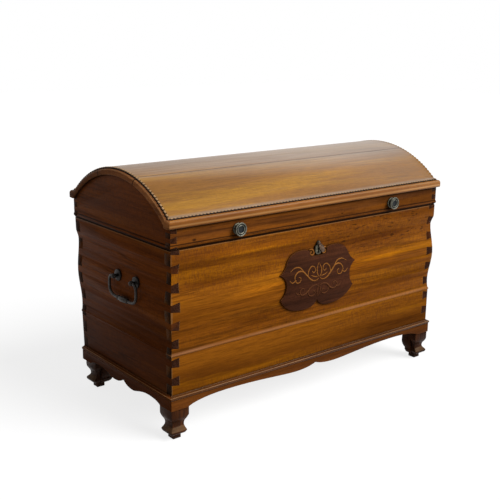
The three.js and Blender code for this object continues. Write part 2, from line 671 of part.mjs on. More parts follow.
function archMoulding() {
  const outer = domeRadius - arch.drop;
  const inner = outer - arch.height;
  const out = nosing.proud;
  const profile = new THREE.Path();
  profile.moveTo(inner, gap);
  profile.lineTo(outer, gap);
  profile.quadraticCurveTo(outer, out, outer - arch.ovolo, out);
  profile.lineTo(inner + arch.face, out);
  profile.quadraticCurveTo(inner, out, inner, out - arch.face);
  const points = profile.getPoints(archSteps).map((q) => [q.x, q.y]);
  const ringShape = turned(points, ringSteps);
  ringShape.rotateZ(-Math.PI / 2);
  ringShape.translate(railReach, 0, domeCentre);
  const far = railReach + overrun;
  const y = railDepthReach;
  const ring = solid(ringShape).intersect(box(0, far, -y, y, nosingBase, lidHeight + overrun));
  const side = new THREE.Shape(nosingPath(-nosing.toeDepth).getPoints(curveSteps)
    .map((q) => new THREE.Vector2(y + q.x, q.y)));
  const end = new THREE.Shape(nosingPath(gap).getPoints(curveSteps)
    .map((q) => new THREE.Vector2(railReach + q.x, q.y)));
  const backToe = prismX(side, railReach, far).intersect(prismY(end, 0, y + overrun))
    .subtract(mitreWasteInner(railReach, y));
  const frontToe = backToe.mirror([0, 1, 0]);
  return join(ring, backToe, frontToe);
}

// What a toe leaves to the long nosing at the back right corner: everything inside the mitre plane.
function mitreWasteInner(x, y) {
  const size = bodyWidth;
  const geometry = new THREE.BoxGeometry(size, size, size);
  geometry.translate(-size / 2, 0, 0);
  geometry.rotateZ(-Math.PI / 4);
  geometry.translate(x + gap * Math.SQRT1_2, y, 0);
  return solid(geometry);
}

// Beads round the dome: a half round along each arched end, and one along the foot of the front and back.
function archBead() {
  const inside = innerRadius + gap;
  const outside = domeRadius + domeBead.rise;
  const w = dome.endIn;
  const ring = turned([
    [inside, 0], [outside - domeBead.round, 0], [outside, w / 2], [outside - domeBead.round, w], [inside, w],
  ], ringSteps);
  ring.rotateZ(-Math.PI / 2);
  ring.translate(railReach - dome.endIn, 0, domeCentre);
  const y = domeFoot - gap;
  return solid(ring).intersect(box(0, railReach + overrun, -y, y, railTop + gap, lidHeight + overrun));
}

function footBead() {
  const b = domeBead;
  const low = railTop + gap;
  const outline = new THREE.Shape();
  outline.moveTo(domeFoot + gap, low);
  outline.lineTo(domeFoot + gap + b.width, low);
  outline.lineTo(domeFoot + gap + b.width, low + b.stripHeight - b.round);
  outline.quadraticCurveTo(domeFoot + gap + b.width / 2, low + b.stripHeight + b.round / 2,
    domeFoot + gap, low + b.stripHeight - b.round);
  return prismX(outline, -railReach, railReach);
}

// Knobs on the front rail. In their own frame the rail's face is y = 0 and the room side is -y.
const knob = {
  spacing: 664, height: 33, shank: 3.5, hole: 3.9, shankPast: 7, rosette: 18, rosetteEdge: 3, rosetteRise: 5,
  neck: 7, neckLength: 8, discBack: 13.5, disc: 21, discEdge: 2.6, grooveIn: 4, grooveDeep: 2, ring: 13.5,
  boss: 10, bossRise: 1, dish: 0.8, nutFlat: 6, nutThickness: 5,
};

function knobTurning() {
  const k = knob;
  const neckEnd = -k.rosetteRise - k.neckLength;
  const back = -k.discBack;
  const front = -k.discBack - k.discEdge;
  return solid(turned([
    [0, rail.thickness + k.shankPast], [k.shank, rail.thickness + k.shankPast], [k.shank, -k.rosetteRise],
    [k.neck, -k.rosetteRise - gap], [k.neck, (neckEnd - k.rosetteRise) / 2], [k.neck / 2 + k.shank, neckEnd],
    [k.disc - k.grooveIn, back - k.bossRise], [k.disc, front + k.bossRise], [k.disc, front - k.grooveDeep],
    [k.disc - k.bossRise, front - k.grooveDeep - k.bossRise],
    [k.disc - k.grooveIn, front - k.grooveDeep], [k.disc - k.grooveIn - k.bossRise, front],
    [k.ring + k.bossRise, front], [k.ring, front - k.grooveDeep],
    [k.ring - k.bossRise, front - k.grooveDeep - k.bossRise], [k.boss + k.bossRise, front - k.grooveDeep],
    [k.boss, front + k.dish], [0, front + k.dish],
  ]));
}

function knobRosette() {
  const k = knob;
  const hole = k.shank + gap;
  return solid(turned([
    [hole, -gap], [k.rosette, -gap], [k.rosette, -k.rosetteEdge], [k.rosette - k.grooveIn / 2, -k.rosetteRise + gap],
    [k.rosette - k.grooveIn, -k.rosetteEdge], [k.ring, -k.rosetteEdge], [k.boss, -k.rosetteRise + gap],
    [hole, -k.rosetteRise + gap],
  ]));
}

function hexagon(flat) {
  const outline = new THREE.Shape();
  const radius = flat / Math.cos(Math.PI / 6);
  for (let i = 0; i < 6; i += 1) {
    const angle = (i * Math.PI) / 3;
    const point = [radius * Math.cos(angle), radius * Math.sin(angle)];
    if (i === 0) outline.moveTo(...point);
    else outline.lineTo(...point);
  }
  return outline;
}

function knobNut() {
  const start = rail.thickness + gap;
  return prismY(hexagon(knob.nutFlat), start, start + knob.nutThickness)
    .subtract(rodY(knob.shank + gap, start - overrun, start + overrun, 0, 0));
}

// Strap hinges on the back. In their own frame the pin lies on the X axis, the carcass is on the -y side
// and z = 0 is the middle of the seam.
const hinge = {
  spacing: 680, clear: 0.6, width: 34, endWidth: 20, carcassLength: 110, belowNosing: 1, leaf: 3,
  knuckle: 5.2, pin: 2.2, hole: 2.6, headRadius: 3.8, headLength: 2.2, centreHalf: 7, reach: 5.6,
};
const hingeOffset = rail.proud + hinge.knuckle + hinge.clear;

// A strap that narrows to a round end, in (x, z), from z = start in the direction of its length.
function strapShape(start, length) {
  const half = hinge.width / 2;
  const end = hinge.endWidth / 2;
  const way = Math.sign(length);
  const stop = start + length - way * end;
  const outline = new THREE.Shape();
  outline.moveTo(-half, start);
  outline.lineTo(half, start);
  outline.lineTo(half, start + length / 4);
  outline.quadraticCurveTo(end, start + length / 3, end, stop);
  outline.quadraticCurveTo(end, start + length, 0, start + length);
  outline.quadraticCurveTo(-end, start + length, -end, stop);
  outline.quadraticCurveTo(-end, start + length / 3, -half, start + length / 4);
  return outline;
}

function carcassStrap() {
  const h = hinge;
  const half = h.width / 2;
  const face = -hingeOffset + gap;
  const foot = -carcassHeight;
  const layer = prismX(new THREE.Shape([
    new THREE.Vector2(face, 0), new THREE.Vector2(face - backLean, foot),
    new THREE.Vector2(face - backLean + h.leaf, foot), new THREE.Vector2(face + h.leaf, 0),
  ]), -half, half);
  const leaf = prismY(strapShape(-h.knuckle / 2, -h.carcassLength), -backLean - overrun, overrun).intersect(layer);
  const ears = [[-half, -h.centreHalf - gap], [h.centreHalf + gap, half]].map(([x0, x1]) => join(
    rodX(h.knuckle, x0, x1, 0, 0),
    box(x0, x1, face, 0, -h.knuckle, -h.knuckle / 2),
  ));
  return join(leaf, ...ears).subtract(rodX(h.hole, -overrun, overrun, 0, 0));
}

function lidStrap() {
  const h = hinge;
  const face = -hingeOffset + rail.proud + gap;
  const leaf = prismY(strapShape(h.reach, nosingBase - h.belowNosing - h.reach), face, face + h.leaf);
  const web = box(-h.centreHalf, h.centreHalf, face, face + h.leaf, 0, h.reach + h.leaf);
  const knuckle = rodX(h.knuckle, -h.centreHalf, h.centreHalf, 0, 0);
  return join(leaf, web, knuckle).subtract(rodX(h.hole, -overrun, overrun, 0, 0));
}

function hingePin() {
  const half = hinge.width / 2 + gap;
  return join(
    rodX(hinge.pin, -half - hinge.headLength, half + hinge.headLength, 0, 0),
    rodX(hinge.headRadius, -half - hinge.headLength, -half, 0, 0),
    rodX(hinge.headRadius, half, half + hinge.headLength, 0, 0),
  );
}

// Bail handles. In their own frame x runs along the end board, -y points out of it, z is up and the
// origin is on the wall plane midway between the posts.
const handle = {
  below: 134, forward: 42.5, postHalf: 50.5, standOff: 20, rosette: 18, rosetteEdge: 7, neck: 6, ball: 8.5,
  eye: 3.6, shank: 3.4, shankPast: 4, clenchRadius: 6, clench: 2.5,
  pin: 3, pinIn: 2, legHalf: 76, drop: 62, gripHalf: 29, grip: 8.8, bar: 4.4,
};
// The bail's bar from the eye down the leg, as shares of the way out to the leg and of the drop, then
// from the leg in to the grip.
const bailLegShares = [[0, 0], [0.45, 0.02], [0.92, 0.16], [1, 0.39], [0.97, 0.66]];
const bailFootShares = [[0.8, 0.9], [0.4, 0.99], [0, 1]];
const gripShares = [
  [0.25, -1], [0.8, -0.86], [0.25, -0.72], [1, -0.3], [1, 0.3], [0.25, 0.72], [0.8, 0.86], [0.25, 1],
];
const barSides = 10;
const barSteps = 34;
const handleZ = carcassHeight - handle.below;

function handlePost() {
  const h = handle;
  const inside = wallThickness + gap;
  const ballTop = -h.standOff - h.ball;
  const side = h.ball * Math.SQRT1_2;
  const rosette = solid(turned([
    [0, overrun], [h.rosette, overrun], [h.rosette, -h.rosetteEdge], [h.rosette - h.neck / 2, -h.rosetteEdge - gap],
    [h.neck, -h.rosetteEdge - h.neck / 2], [0, -h.rosetteEdge - h.neck / 2],
  ]));
  const stem = solid(turned([
    [0, ballTop], [side / 2, ballTop + (h.ball - side) / 2], [side, -h.standOff - side], [h.ball, -h.standOff],
    [side, -h.standOff + side], [h.shank, -h.rosetteEdge - h.neck / 2 + gap], [h.shank, inside],
    [h.clenchRadius, inside], [h.clenchRadius, inside + h.clench], [0, inside + h.shankPast],
  ], rodSides));
  const lines = wallLine(gap).map((q) => new THREE.Vector2(-q.x, q.y - handleZ));
  const deep = [new THREE.Vector2(2 * overrun, h.below), new THREE.Vector2(2 * overrun, -handleZ)];
  const wall = prismX(new THREE.Shape([...lines, ...deep]), -overrun, overrun);
  return rosette.subtract(wall).add(stem).subtract(rodX(h.eye, -overrun, overrun, -h.standOff, 0));
}

// The bail hangs in the plane y = 0 of its own frame, with its two pins on the X axis.
function bail() {
  const h = handle;
  const start = h.postHalf + h.ball + 2 * gap;
  const side = [
    ...bailLegShares.map(([x, z]) => [start + x * (h.legHalf - start), -z * h.drop]),
    ...bailFootShares.map(([x, z]) => [h.gripHalf + x * (h.legHalf - h.gripHalf), -z * h.drop]),
  ];
  const points = [
    ...side.map(([x, z]) => new THREE.Vector3(-x, 0, z)),
    ...side.slice().reverse().map(([x, z]) => new THREE.Vector3(x, 0, z)),
  ];
  const route = new THREE.CatmullRomCurve3(points, false, 'centripetal');
  const section = new THREE.Shape();
  section.absarc(0, 0, h.bar, 0, 2 * Math.PI, false);
  const bar = solid(new THREE.ExtrudeGeometry(section, {
    steps: barSteps, extrudePath: route, bevelEnabled: false, curveSegments: barSides / 2,
  }));
  const rings = gripShares.map(([out, along]) => [h.bar + out * (h.grip - h.bar), along * h.gripHalf]);
  const grip = turned([[0, -h.gripHalf], ...rings, [0, h.gripHalf]], rodSides);
  grip.rotateZ(-Math.PI / 2);
  grip.translate(0, 0, -h.drop);
  const inner = h.postHalf - h.ball - h.pinIn;
  const pins = join(
    rodX(h.pin, -start - h.pinIn, -inner, 0, 0, barSides),
    rodX(h.pin, inner, start + h.pinIn, 0, 0, barSides),
  );
  return join(bar, solid(grip), pins);
}

// Assembly
const trunk = new THREE.Group();
const base = new THREE.Group();
const carcass = new THREE.Group();
const lid = new THREE.Group();
carcass.position.z = carcassBase;
lid.position.z = lidBase;
trunk.add(base, carcass, lid);

// Puts a piece in a group at a place, turned about Z.
function place(group, mesh, x, y, z, turn = 0) {
  mesh.position.set(x, y, z);
  mesh.rotation.z = turn;
  group.add(mesh);
  return mesh;
}

function addBase() {
  const quarter = Math.PI / 2;
  const frontBoard = apronBoard(-halfWidth, halfWidth, frontApron, true, true);
  const leftBoard = apronBoard(-backFoot, halfDepth, endApron, false, true);
  const rightBoard = apronBoard(-halfDepth, backFoot, endApron, true, false);
  place(base, piece('plinth_front', frontBoard, walnut), 0, -halfDepth, footHeight);
  place(base, piece('plinth_left', leftBoard, darkWalnut), -halfWidth, 0, footHeight, -quarter);
  place(base, piece('plinth_right', rightBoard, darkWalnut), halfWidth, 0, footHeight, quarter);
  place(base, piece('plinth_back', backPlinth(), darkWalnut), 0, 0, footHeight);
  const line = baseMouldingLine();
  const front = mouldingStrip(line, -halfWidth, halfWidth, true, true);
  const left = mouldingStrip(line, -backFoot, halfDepth, false, true);
  const right = mouldingStrip(line, -halfDepth, backFoot, true, false);
  place(base, piece('base_moulding_front', front, walnut), 0, -halfDepth, carcassBase);
  place(base, piece('base_moulding_left', left, darkWalnut), -halfWidth, 0, carcassBase, -quarter);
  place(base, piece('base_moulding_right', right, darkWalnut), halfWidth, 0, carcassBase, quarter);
  const { width, wide } = footBlock;
  const backX = halfWidth - foot.backIn;
  const spots = [
    ['foot_front_left', footSolid(width, width), -halfWidth, -halfDepth, 0],
    ['foot_front_right', footSolid(width, width), halfWidth, -halfDepth, quarter],
    ['foot_back_right', footSolid(wide, width), backX, backFoot, 2 * quarter],
    ['foot_back_left', footSolid(width, wide), -backX, backFoot, -quarter],
  ];
  for (const [name, made, x, y, turn] of spots) place(base, piece(name, made, darkWalnut), x, y, 0, turn);
}

function addCarcass() {
  const corner = {
    reach: halfWidth, depthReach: halfDepth, thickness: wallThickness, sideThickness: wallThickness,
    outerHalf: dovetail.outerHalf, height: carcassHeight, count: dovetail.count, top: carcassHeight,
    lean: backLean,
  };
  const boards = dovetailedFrame(frontEnvelope().intersect(endEnvelope()), corner);
  const groove = bottomGroove();
  const rivetHole = rodY(rivet.radius + gap, -halfDepth - overrun, -halfDepth + rivet.depth, 0,
    pivotZ);
  const front = boards.front.subtract(groove).subtract(rivetHole)
    .subtract(prismY(keyholeShape(0), -halfDepth - overrun, -halfDepth + overrun));
  const postHoles = join(...[-1, 1].map((side) => rodX(handle.shank + gap, -halfWidth - overrun,
    halfWidth + overrun, -handle.forward + side * handle.postHalf, handleZ)));
  carcass.add(piece('front_board', front, walnut));
  carcass.add(piece('back_board', boards.back.subtract(groove), walnut));
  carcass.add(piece('left_end_board', boards.left.subtract(groove).subtract(postHoles), darkWalnut));
  carcass.add(piece('right_end_board', boards.right.subtract(groove).subtract(postHoles), darkWalnut));
  ['front', 'middle', 'back'].forEach((name, index) => {
    carcass.add(piece(`bottom_board_${name}`, bottomBoard(index), rawWood));
  });
  carcass.add(piece('shield', shieldSolid(), shieldWood));
  carcass.add(piece('keyhole_plate', keyholePlate(), pewter));
  const coverBack = plateFace - cover.lift;
  const coverMesh = place(carcass, piece('keyhole_cover', keyholeCover(), pewter), 0, coverBack, pivotZ);
  coverMesh.rotation.y = -radians(cover.restAngle);
  place(carcass, piece('cover_rivet', coverRivet(), pewter), 0, coverBack, pivotZ);
  carcass.add(piece('lock_case', lockCase(), iron));
  carcass.add(piece('lock_bolt', lockBolt(), iron));
}

function addLid() {
  const corner = {
    reach: railReach, depthReach: railDepthReach, thickness: rail.gableThickness, sideThickness: rail.thickness,
    outerHalf: dovetail.lidOuterHalf, height: dovetail.lidHeight, count: dovetail.lidCount, top: lidHeight,
    lean: 0,
  };
  const frame = dovetailedFrame(lidEnvelope(), corner);
  const below = box(-railReach - overrun, railReach + overrun, -railDepthReach - overrun, railDepthReach + overrun,
    -overrun, railTop);
  const knobHoles = join(...[-1, 1].map((side) => rodY(knob.hole, -railDepthReach - overrun,
    -railDepthReach + overrun, (side * knob.spacing) / 2, knob.height)));
  lid.add(piece('lid_front_rail', frame.front.intersect(below).subtract(knobHoles), walnut));
  lid.add(piece('lid_back_rail', frame.back.intersect(below), walnut));
  lid.add(piece('lid_gable_left', frame.left, darkWalnut));
  lid.add(piece('lid_gable_right', frame.right, darkWalnut));
  const sideBoard = domeBoard(domeSideShape());
  place(lid, piece('dome_board_front', sideBoard, paleWalnut), 0, 0, 0, Math.PI);
  lid.add(piece('dome_board_crown', domeBoard(domeCrownShape()), paleWalnut));
  lid.add(piece('dome_board_back', sideBoard, paleWalnut));
  const archMade = archMoulding();
  place(lid, piece('arch_moulding_left', archMade, walnut), 0, 0, 0, Math.PI);
  lid.add(piece('arch_moulding_right', archMade, walnut));
  const beadMade = archBead();
  place(lid, piece('dome_bead_left', beadMade, darkWalnut), 0, 0, 0, Math.PI);
  lid.add(piece('dome_bead_right', beadMade, darkWalnut));
  const footBeadMade = footBead();
  place(lid, piece('dome_bead_front', footBeadMade, darkWalnut), 0, 0, 0, Math.PI);
  lid.add(piece('dome_bead_back', footBeadMade, darkWalnut));
  const nosingMade = mouldingStrip(nosingPath(gap), -railReach, railReach, true, true);
  place(lid, piece('toe_nosing_front', nosingMade, walnut), 0, -railDepthReach, 0);
  place(lid, piece('toe_nosing_back', nosingMade, walnut), 0, railDepthReach, 0, Math.PI);
  lid.add(piece('lock_staple', lockStaple(), iron));
  for (const [name, side] of [['left', -1], ['right', 1]]) {
    const x = (side * knob.spacing) / 2;
    place(lid, piece(`lid_knob_${name}`, knobTurning(), pewter), x, -railDepthReach, knob.height);
    place(lid, piece(`knob_rosette_${name}`, knobRosette(), pewter), x, -railDepthReach, knob.height);
    place(lid, piece(`knob_nut_${name}`, knobNut(), iron), x, -railDepthReach, knob.height);
  }
}

function addHinges() {
  const y = halfDepth + hingeOffset;
  const seam = carcassHeight + seamGap / 2;
  for (const [name, side] of [['left', -1], ['right', 1]]) {
    const x = (side * hinge.spacing) / 2;
    place(carcass, piece(`hinge_strap_${name}`, carcassStrap(), iron), x, y, seam);
    place(carcass, piece(`hinge_pin_${name}`, hingePin(), iron), x, y, seam);
    place(lid, piece(`lid_strap_${name}`, lidStrap(), iron), x, y, -seamGap / 2);
  }
}

function addHandles() {
  const postMade = handlePost();
  const bailMade = bail();
  for (const [name, side] of [['left', -1], ['right', 1]]) {
    const turn = (side * Math.PI) / 2;
    const wallX = side * halfWidth;
    const spots = [['front', -handle.forward - handle.postHalf], ['back', -handle.forward + handle.postHalf]];
    for (const [where, y] of spots) {
      place(carcass, piece(`handle_post_${name}_${where}`, postMade, iron), wallX, y, handleZ, turn);
    }
    const hangX = side * (halfWidth + handle.standOff);
    place(carcass, piece(`handle_bail_${name}`, bailMade, iron), hangX, -handle.forward, handleZ, turn);
  }
}

addBase();
addCarcass();
addLid();
addHinges();
addHandles();

export default trunk;
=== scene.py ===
"""Finishes, fine trim, light and camera of the dome top trunk.

Metres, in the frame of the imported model: X runs along the front to the right, Y from front to back, Z up.
"""
import math

import bmesh
import bpy
from mathutils import Matrix, Vector


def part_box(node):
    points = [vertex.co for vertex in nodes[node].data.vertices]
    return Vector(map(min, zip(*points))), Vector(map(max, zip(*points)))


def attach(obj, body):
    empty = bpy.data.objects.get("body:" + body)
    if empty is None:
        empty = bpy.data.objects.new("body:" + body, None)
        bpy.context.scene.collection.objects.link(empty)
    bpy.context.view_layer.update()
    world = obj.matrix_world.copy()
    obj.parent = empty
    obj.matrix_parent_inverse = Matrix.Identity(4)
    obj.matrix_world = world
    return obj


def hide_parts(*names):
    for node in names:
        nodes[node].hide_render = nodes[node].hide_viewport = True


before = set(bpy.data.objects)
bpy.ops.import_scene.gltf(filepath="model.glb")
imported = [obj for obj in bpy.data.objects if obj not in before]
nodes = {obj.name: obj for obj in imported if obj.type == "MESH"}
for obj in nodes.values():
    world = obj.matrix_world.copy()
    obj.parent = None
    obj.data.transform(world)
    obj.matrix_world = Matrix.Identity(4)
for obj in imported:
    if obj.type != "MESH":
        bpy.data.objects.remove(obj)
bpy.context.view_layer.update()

# Camera, from the photograph: place, direction in degrees and focal length in pixels of its square frame.
CAMERA_PLACE = Vector((-1.8666, -2.2025, 1.1904))
CAMERA_YAW, CAMERA_PITCH, CAMERA_ROLL = 39.413, -14.601, 0.890
FOCAL_PIXELS = 864.54
FRAME_PIXELS = 500
SENSOR = 36

# The walls of carcass and lid. Bare wood starts just outside a wall's inner face.
CARCASS_LOW, CARCASS_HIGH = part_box("front_board")
SEAM = CARCASS_HIGH.z
HALF_WIDTH = 0.565
WALL = 0.027
HALF_DEPTH = WALL - CARCASS_HIGH.y
RAIL_WALL = 0.020
GABLE_WALL = 0.018
BARE_MARGIN = 0.0005
RIDGE_SHARE = 0.305
RIDGE = CARCASS_LOW.z + RIDGE_SHARE * (CARCASS_HIGH.z - CARCASS_LOW.z)

# The dome, and its joints in degrees either side of the top.
DOME_LOW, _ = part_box("dome_board_front")
CROWN_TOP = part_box("dome_board_crown")[1].z
DOME_RADIUS = 0.3919
DOME_THICKNESS = 0.012
DOME_CENTRE = CROWN_TOP - DOME_RADIUS
BOARD_JOINT = 15.2
ARCH_JOINT = 15.5

# Where wear, dirt, shade and painted sheen lie, across, front to back or up. Pairs say where a change begins
# and ends.
RIGHT_END = 0.56
CORNER_WORN = (HALF_WIDTH - 0.003, HALF_WIDTH - 0.0005)
CORNER_FADE = (RIDGE + 0.06, RIDGE + 0.2)
FRONT_SHADE = (0.16, RIDGE + 0.06)
END_SHADE = (0.13, 0.45)
GABLE_SHADE = (-0.25, 0.1)
ARCH_SHADE = (-0.12, 0.24)
DOME_SHADE = (0.1, RIGHT_END)
FLARE_SHEEN = (DOME_LOW.z + 0.004, DOME_LOW.z + 0.014)
RIPPLE_HIGH = (0.43, 0.49)
DASHES_RIGHT = (-0.1, 0.15)

# The same over the ridge, under the seam, over the seam, under the nosing, and from a knob's middle.
RIDGE_CREST = 0.001
RIDGE_CORNER = 0.010
SEAM_DARK = (0.0012, 0.0021)
SEAM_LINE = 0.0030
BEAD_SHADE = (0.0045, 0.0095)
BEAD_CORNER = 0.0145
NOSING_SHADE = 0.014
NOSING_BELLY_SHARE = 0.32
KNOB_DISH = (0.0102, 0.0114)
KNOB_GROOVE = 0.0155

SIDES = (("left", -1), ("right", 1))
ENDS = (("front", -1), ("back", 1))


def tone(red, green, blue):
    """A colour given as it looks on a screen, 0 to 255, as the shader's linear colour."""
    def linear(value):
        share = value / 255
        return share / 12.92 if share <= 0.04045 else ((share + 0.055) / 1.055) ** 2.4
    return (linear(red), linear(green), linear(blue), 1.0)


def tones(light, middle, dark, glow, ripple, streak):
    """A wood's tones: its figure, its brightest glow, the ripple across the grain and its dark streaks."""
    return {"light": tone(*light), "middle": tone(*middle), "dark": tone(*dark), "glow": tone(*glow),
            "ripple": tone(*ripple), "streak": tone(*streak)}


GOLDEN = tones((168, 100, 24), (144, 82, 18), (108, 58, 14), (194, 120, 16), (96, 50, 28), (54, 29, 12))
UMBER = tones((133, 70, 27), (112, 56, 20), (82, 41, 15), (148, 81, 26), (71, 37, 19), (34, 18, 10))
RUSSET = tones((138, 80, 29), (114, 64, 24), (84, 45, 17), (152, 86, 22), (80, 42, 24), (42, 23, 12))
CHESTNUT = tones((176, 112, 66), (150, 92, 52), (116, 69, 40), (188, 120, 66), (108, 64, 40), (60, 35, 22))
TAWNY = tones((172, 108, 42), (150, 90, 32), (114, 64, 21), (190, 124, 46), (108, 60, 28), (60, 34, 16))
TREACLE = tones((80, 44, 22), (60, 32, 16), (40, 21, 12), (96, 53, 24), (43, 24, 15), (22, 13, 8))
HONEY = tones((174, 121, 40), (155, 103, 32), (124, 80, 26), (188, 134, 28), (122, 78, 36), (82, 52, 24))
MAROON = tones((88, 50, 32), (74, 42, 27), (58, 33, 22), (98, 56, 34), (52, 30, 24), (34, 20, 15))
BARE = tones((180, 140, 92), (160, 121, 76), (136, 98, 60), (192, 154, 104), (136, 100, 66), (98, 66, 38))
GILT = tones((164, 108, 52), (146, 92, 42), (118, 70, 31), (174, 120, 60), (110, 66, 33), (74, 43, 24))
DULL = tones((112, 70, 42), (98, 58, 35), (78, 45, 28), (120, 76, 44), (70, 41, 27), (42, 25, 17))

# End grain, dirt and painted shade in corners, rubbed edges with painted highlights, and a painted sheen.
PIN_ENDS = tone(52, 32, 23)
TAIL_ENDS = tone(42, 25, 15)
DIRT_AND_SHADE = tone(24, 14, 9)
RUBBED_AND_HIGHLIGHT = tone(172, 136, 92)
RUBBED_RED_AND_HIGHLIGHT = tone(164, 116, 82)
RUBBED_GOLD_AND_HIGHLIGHT = tone(196, 142, 84)
SAWN_EDGE_AND_HIGHLIGHT = tone(150, 96, 46)
PAINTED_SHEEN = tone(178, 164, 152)
PEARL_GROOVE = tone(30, 17, 11)
PEARL_CROWN = tone(204, 162, 116)
KNOB_DARK = tone(26, 30, 36)
WHITE = (1.0, 1.0, 1.0, 1.0)
FLOOR_GREY = (0.32, 0.32, 0.32, 1.0)

# Metals: base, bright wear and dirt.
PEWTER = tone(72, 72, 64), tone(128, 126, 112), tone(26, 26, 24)
BRONZE = tone(48, 47, 40), tone(108, 104, 86), tone(16, 16, 14)
BRASS = tone(56, 42, 34), tone(124, 98, 78), tone(20, 15, 13)
IRON = tone(19, 15, 13), tone(44, 38, 34), tone(10, 8, 7)
WORN_IRON = tone(20, 16, 14), tone(58, 52, 48), tone(10, 8, 7)
SCREW_IRON = tone(58, 55, 50), tone(110, 106, 98), tone(20, 18, 17)


class Finish:
    """A material under construction, with short calls for the nodes that the finishes share."""

    def __init__(self, name):
        self.material = bpy.data.materials.new(name)
        self.material.use_nodes = True
        self.tree = self.material.node_tree
        self.tree.nodes.clear()
        self.shader = self.node("ShaderNodeBsdfPrincipled")
        output = self.node("ShaderNodeOutputMaterial")
        self.tree.links.new(self.shader.outputs[0], output.inputs["Surface"])
        place = self.node("ShaderNodeTexCoord")
        self.place = place.outputs["Object"]
        self.normal = place.outputs["Normal"]

    def node(self, kind, **settings):
        made = self.tree.nodes.new(kind)
        for key, value in settings.items():
            setattr(made, key, value)
        return made

    def put(self, socket, value):
        if isinstance(value, bpy.types.NodeSocket):
            self.tree.links.new(value, socket)
        else:
            socket.default_value = value

    def math(self, operation, *values):
        made = self.node("ShaderNodeMath", operation=operation)
        for socket, value in zip(made.inputs, values):
            self.put(socket, value)
        return made.outputs[0]

    def product(self, first, *others):
        for other in others:
            first = self.math("MULTIPLY", first, other)
        return first

    def vector(self, operation, *values):
        made = self.node("ShaderNodeVectorMath", operation=operation)
        for socket, value in zip(made.inputs, values):
            self.put(socket, value)
        return made

    def part(self, vector, axis):
        """One coordinate of a vector."""
        made = self.node("ShaderNodeSeparateXYZ")
        self.put(made.inputs[0], vector)
        return made.outputs["XYZ".index(axis)]

    def at(self, axis):
        """One coordinate of the place."""
        return self.part(self.place, axis)

    def lean(self, axis):
        """How far the surface faces along an axis, from -1 to 1."""
        return self.part(self.normal, axis)

    def facing(self, axis):
        """1 where the surface faces either way along an axis."""
        return self.rise(self.math("ABSOLUTE", self.lean(axis)), 0.75, 0.95)

    def distance(self, point, scale):
        """How far the place is from a point, with each axis scaled."""
        apart = self.vector("SUBTRACT", self.place, point).outputs[0]
        return self.vector("LENGTH", self.vector("MULTIPLY", apart, scale).outputs[0]).outputs["Value"]

    def stretch(self, along, long, across, shift=0.0):
        """The place, scaled by long along the grain's axis and by across on the other two."""
        scale = [across] * 3
        scale["XYZ".index(along)] = long
        moved = self.vector("ADD", self.place, (shift, shift, shift)).outputs[0]
        return self.vector("MULTIPLY", moved, tuple(scale)).outputs[0]

    def noise(self, vector, detail=2.0, roughness=0.5, distortion=0.0):
        made = self.node("ShaderNodeTexNoise")
        self.put(made.inputs["Vector"], vector)
        made.inputs["Scale"].default_value = 1.0
        made.inputs["Detail"].default_value = detail
        made.inputs["Roughness"].default_value = roughness
        made.inputs["Distortion"].default_value = distortion
        return made.outputs[0]

    def patchy(self, long, across, least):
        """An uneven share in soft patches, from least to 1."""
        return self.rise(self.noise(self.stretch("X", long, across)), 0.3, 0.7, least, 1.0)

    def rise(self, value, low, high, start=0.0, end=1.0):
        """A smooth change from start to end while the value goes from low to high."""
        made = self.node("ShaderNodeMapRange", interpolation_type="SMOOTHSTEP")
        for socket, given in zip(made.inputs, (value, low, high, start, end)):
            self.put(socket, given)
        return made.outputs[0]

    def band(self, value, middle, core, edge, share=1.0):
        """A share round a middle value, full within the core and gone beyond the edge."""
        off = self.math("ABSOLUTE", self.math("SUBTRACT", value, middle))
        return self.rise(off, core, edge, share, 0.0)

    def blend(self, factor, first, second, mode="MIX"):
        made = self.node("ShaderNodeMix", data_type="RGBA", blend_type=mode)
        colour_in, colour_over = made.inputs[6], made.inputs[7]
        self.put(made.inputs[0], factor)
        self.put(colour_in, first)
        self.put(colour_over, second)
        return made.outputs[2]

    def ramp(self, value, stops):
        made = self.node("ShaderNodeValToRGB")
        self.put(made.inputs[0], value)
        points = made.color_ramp.elements
        while len(points) < len(stops):
            points.new(0.5)
        for point, (position, colour) in zip(points, stops):
            point.position = position
            point.color = colour
        return made.outputs[0]

    def scaled(self, colour, factor):
        made = self.node("ShaderNodeVectorMath", operation="SCALE")
        self.put(made.inputs[0], colour if isinstance(colour, bpy.types.NodeSocket) else colour[:3])
        self.put(made.inputs["Scale"], factor)
        return made.outputs[0]

    def crevice(self, distance):
        """1 deep in a corner, 0 in the open."""
        made = self.node("ShaderNodeAmbientOcclusion", samples=6)
        made.inputs["Distance"].default_value = distance
        return self.rise(made.outputs["AO"], 0.35, 0.95, 1.0, 0.0)

    def bump(self, height, distance):
        made = self.node("ShaderNodeBump")
        made.inputs["Strength"].default_value = 1.0
        made.inputs["Distance"].default_value = distance
        self.put(made.inputs["Height"], height)
        self.put(self.shader.inputs["Normal"], made.outputs[0])

    def finish(self, colour, roughness, metallic=0.0, specular=0.5):
        self.put(self.shader.inputs["Base Color"], colour)
        self.put(self.shader.inputs["Roughness"], roughness)
        self.shader.inputs["Metallic"].default_value = metallic
        self.shader.inputs["Specular IOR Level"].default_value = specular
        return self.material


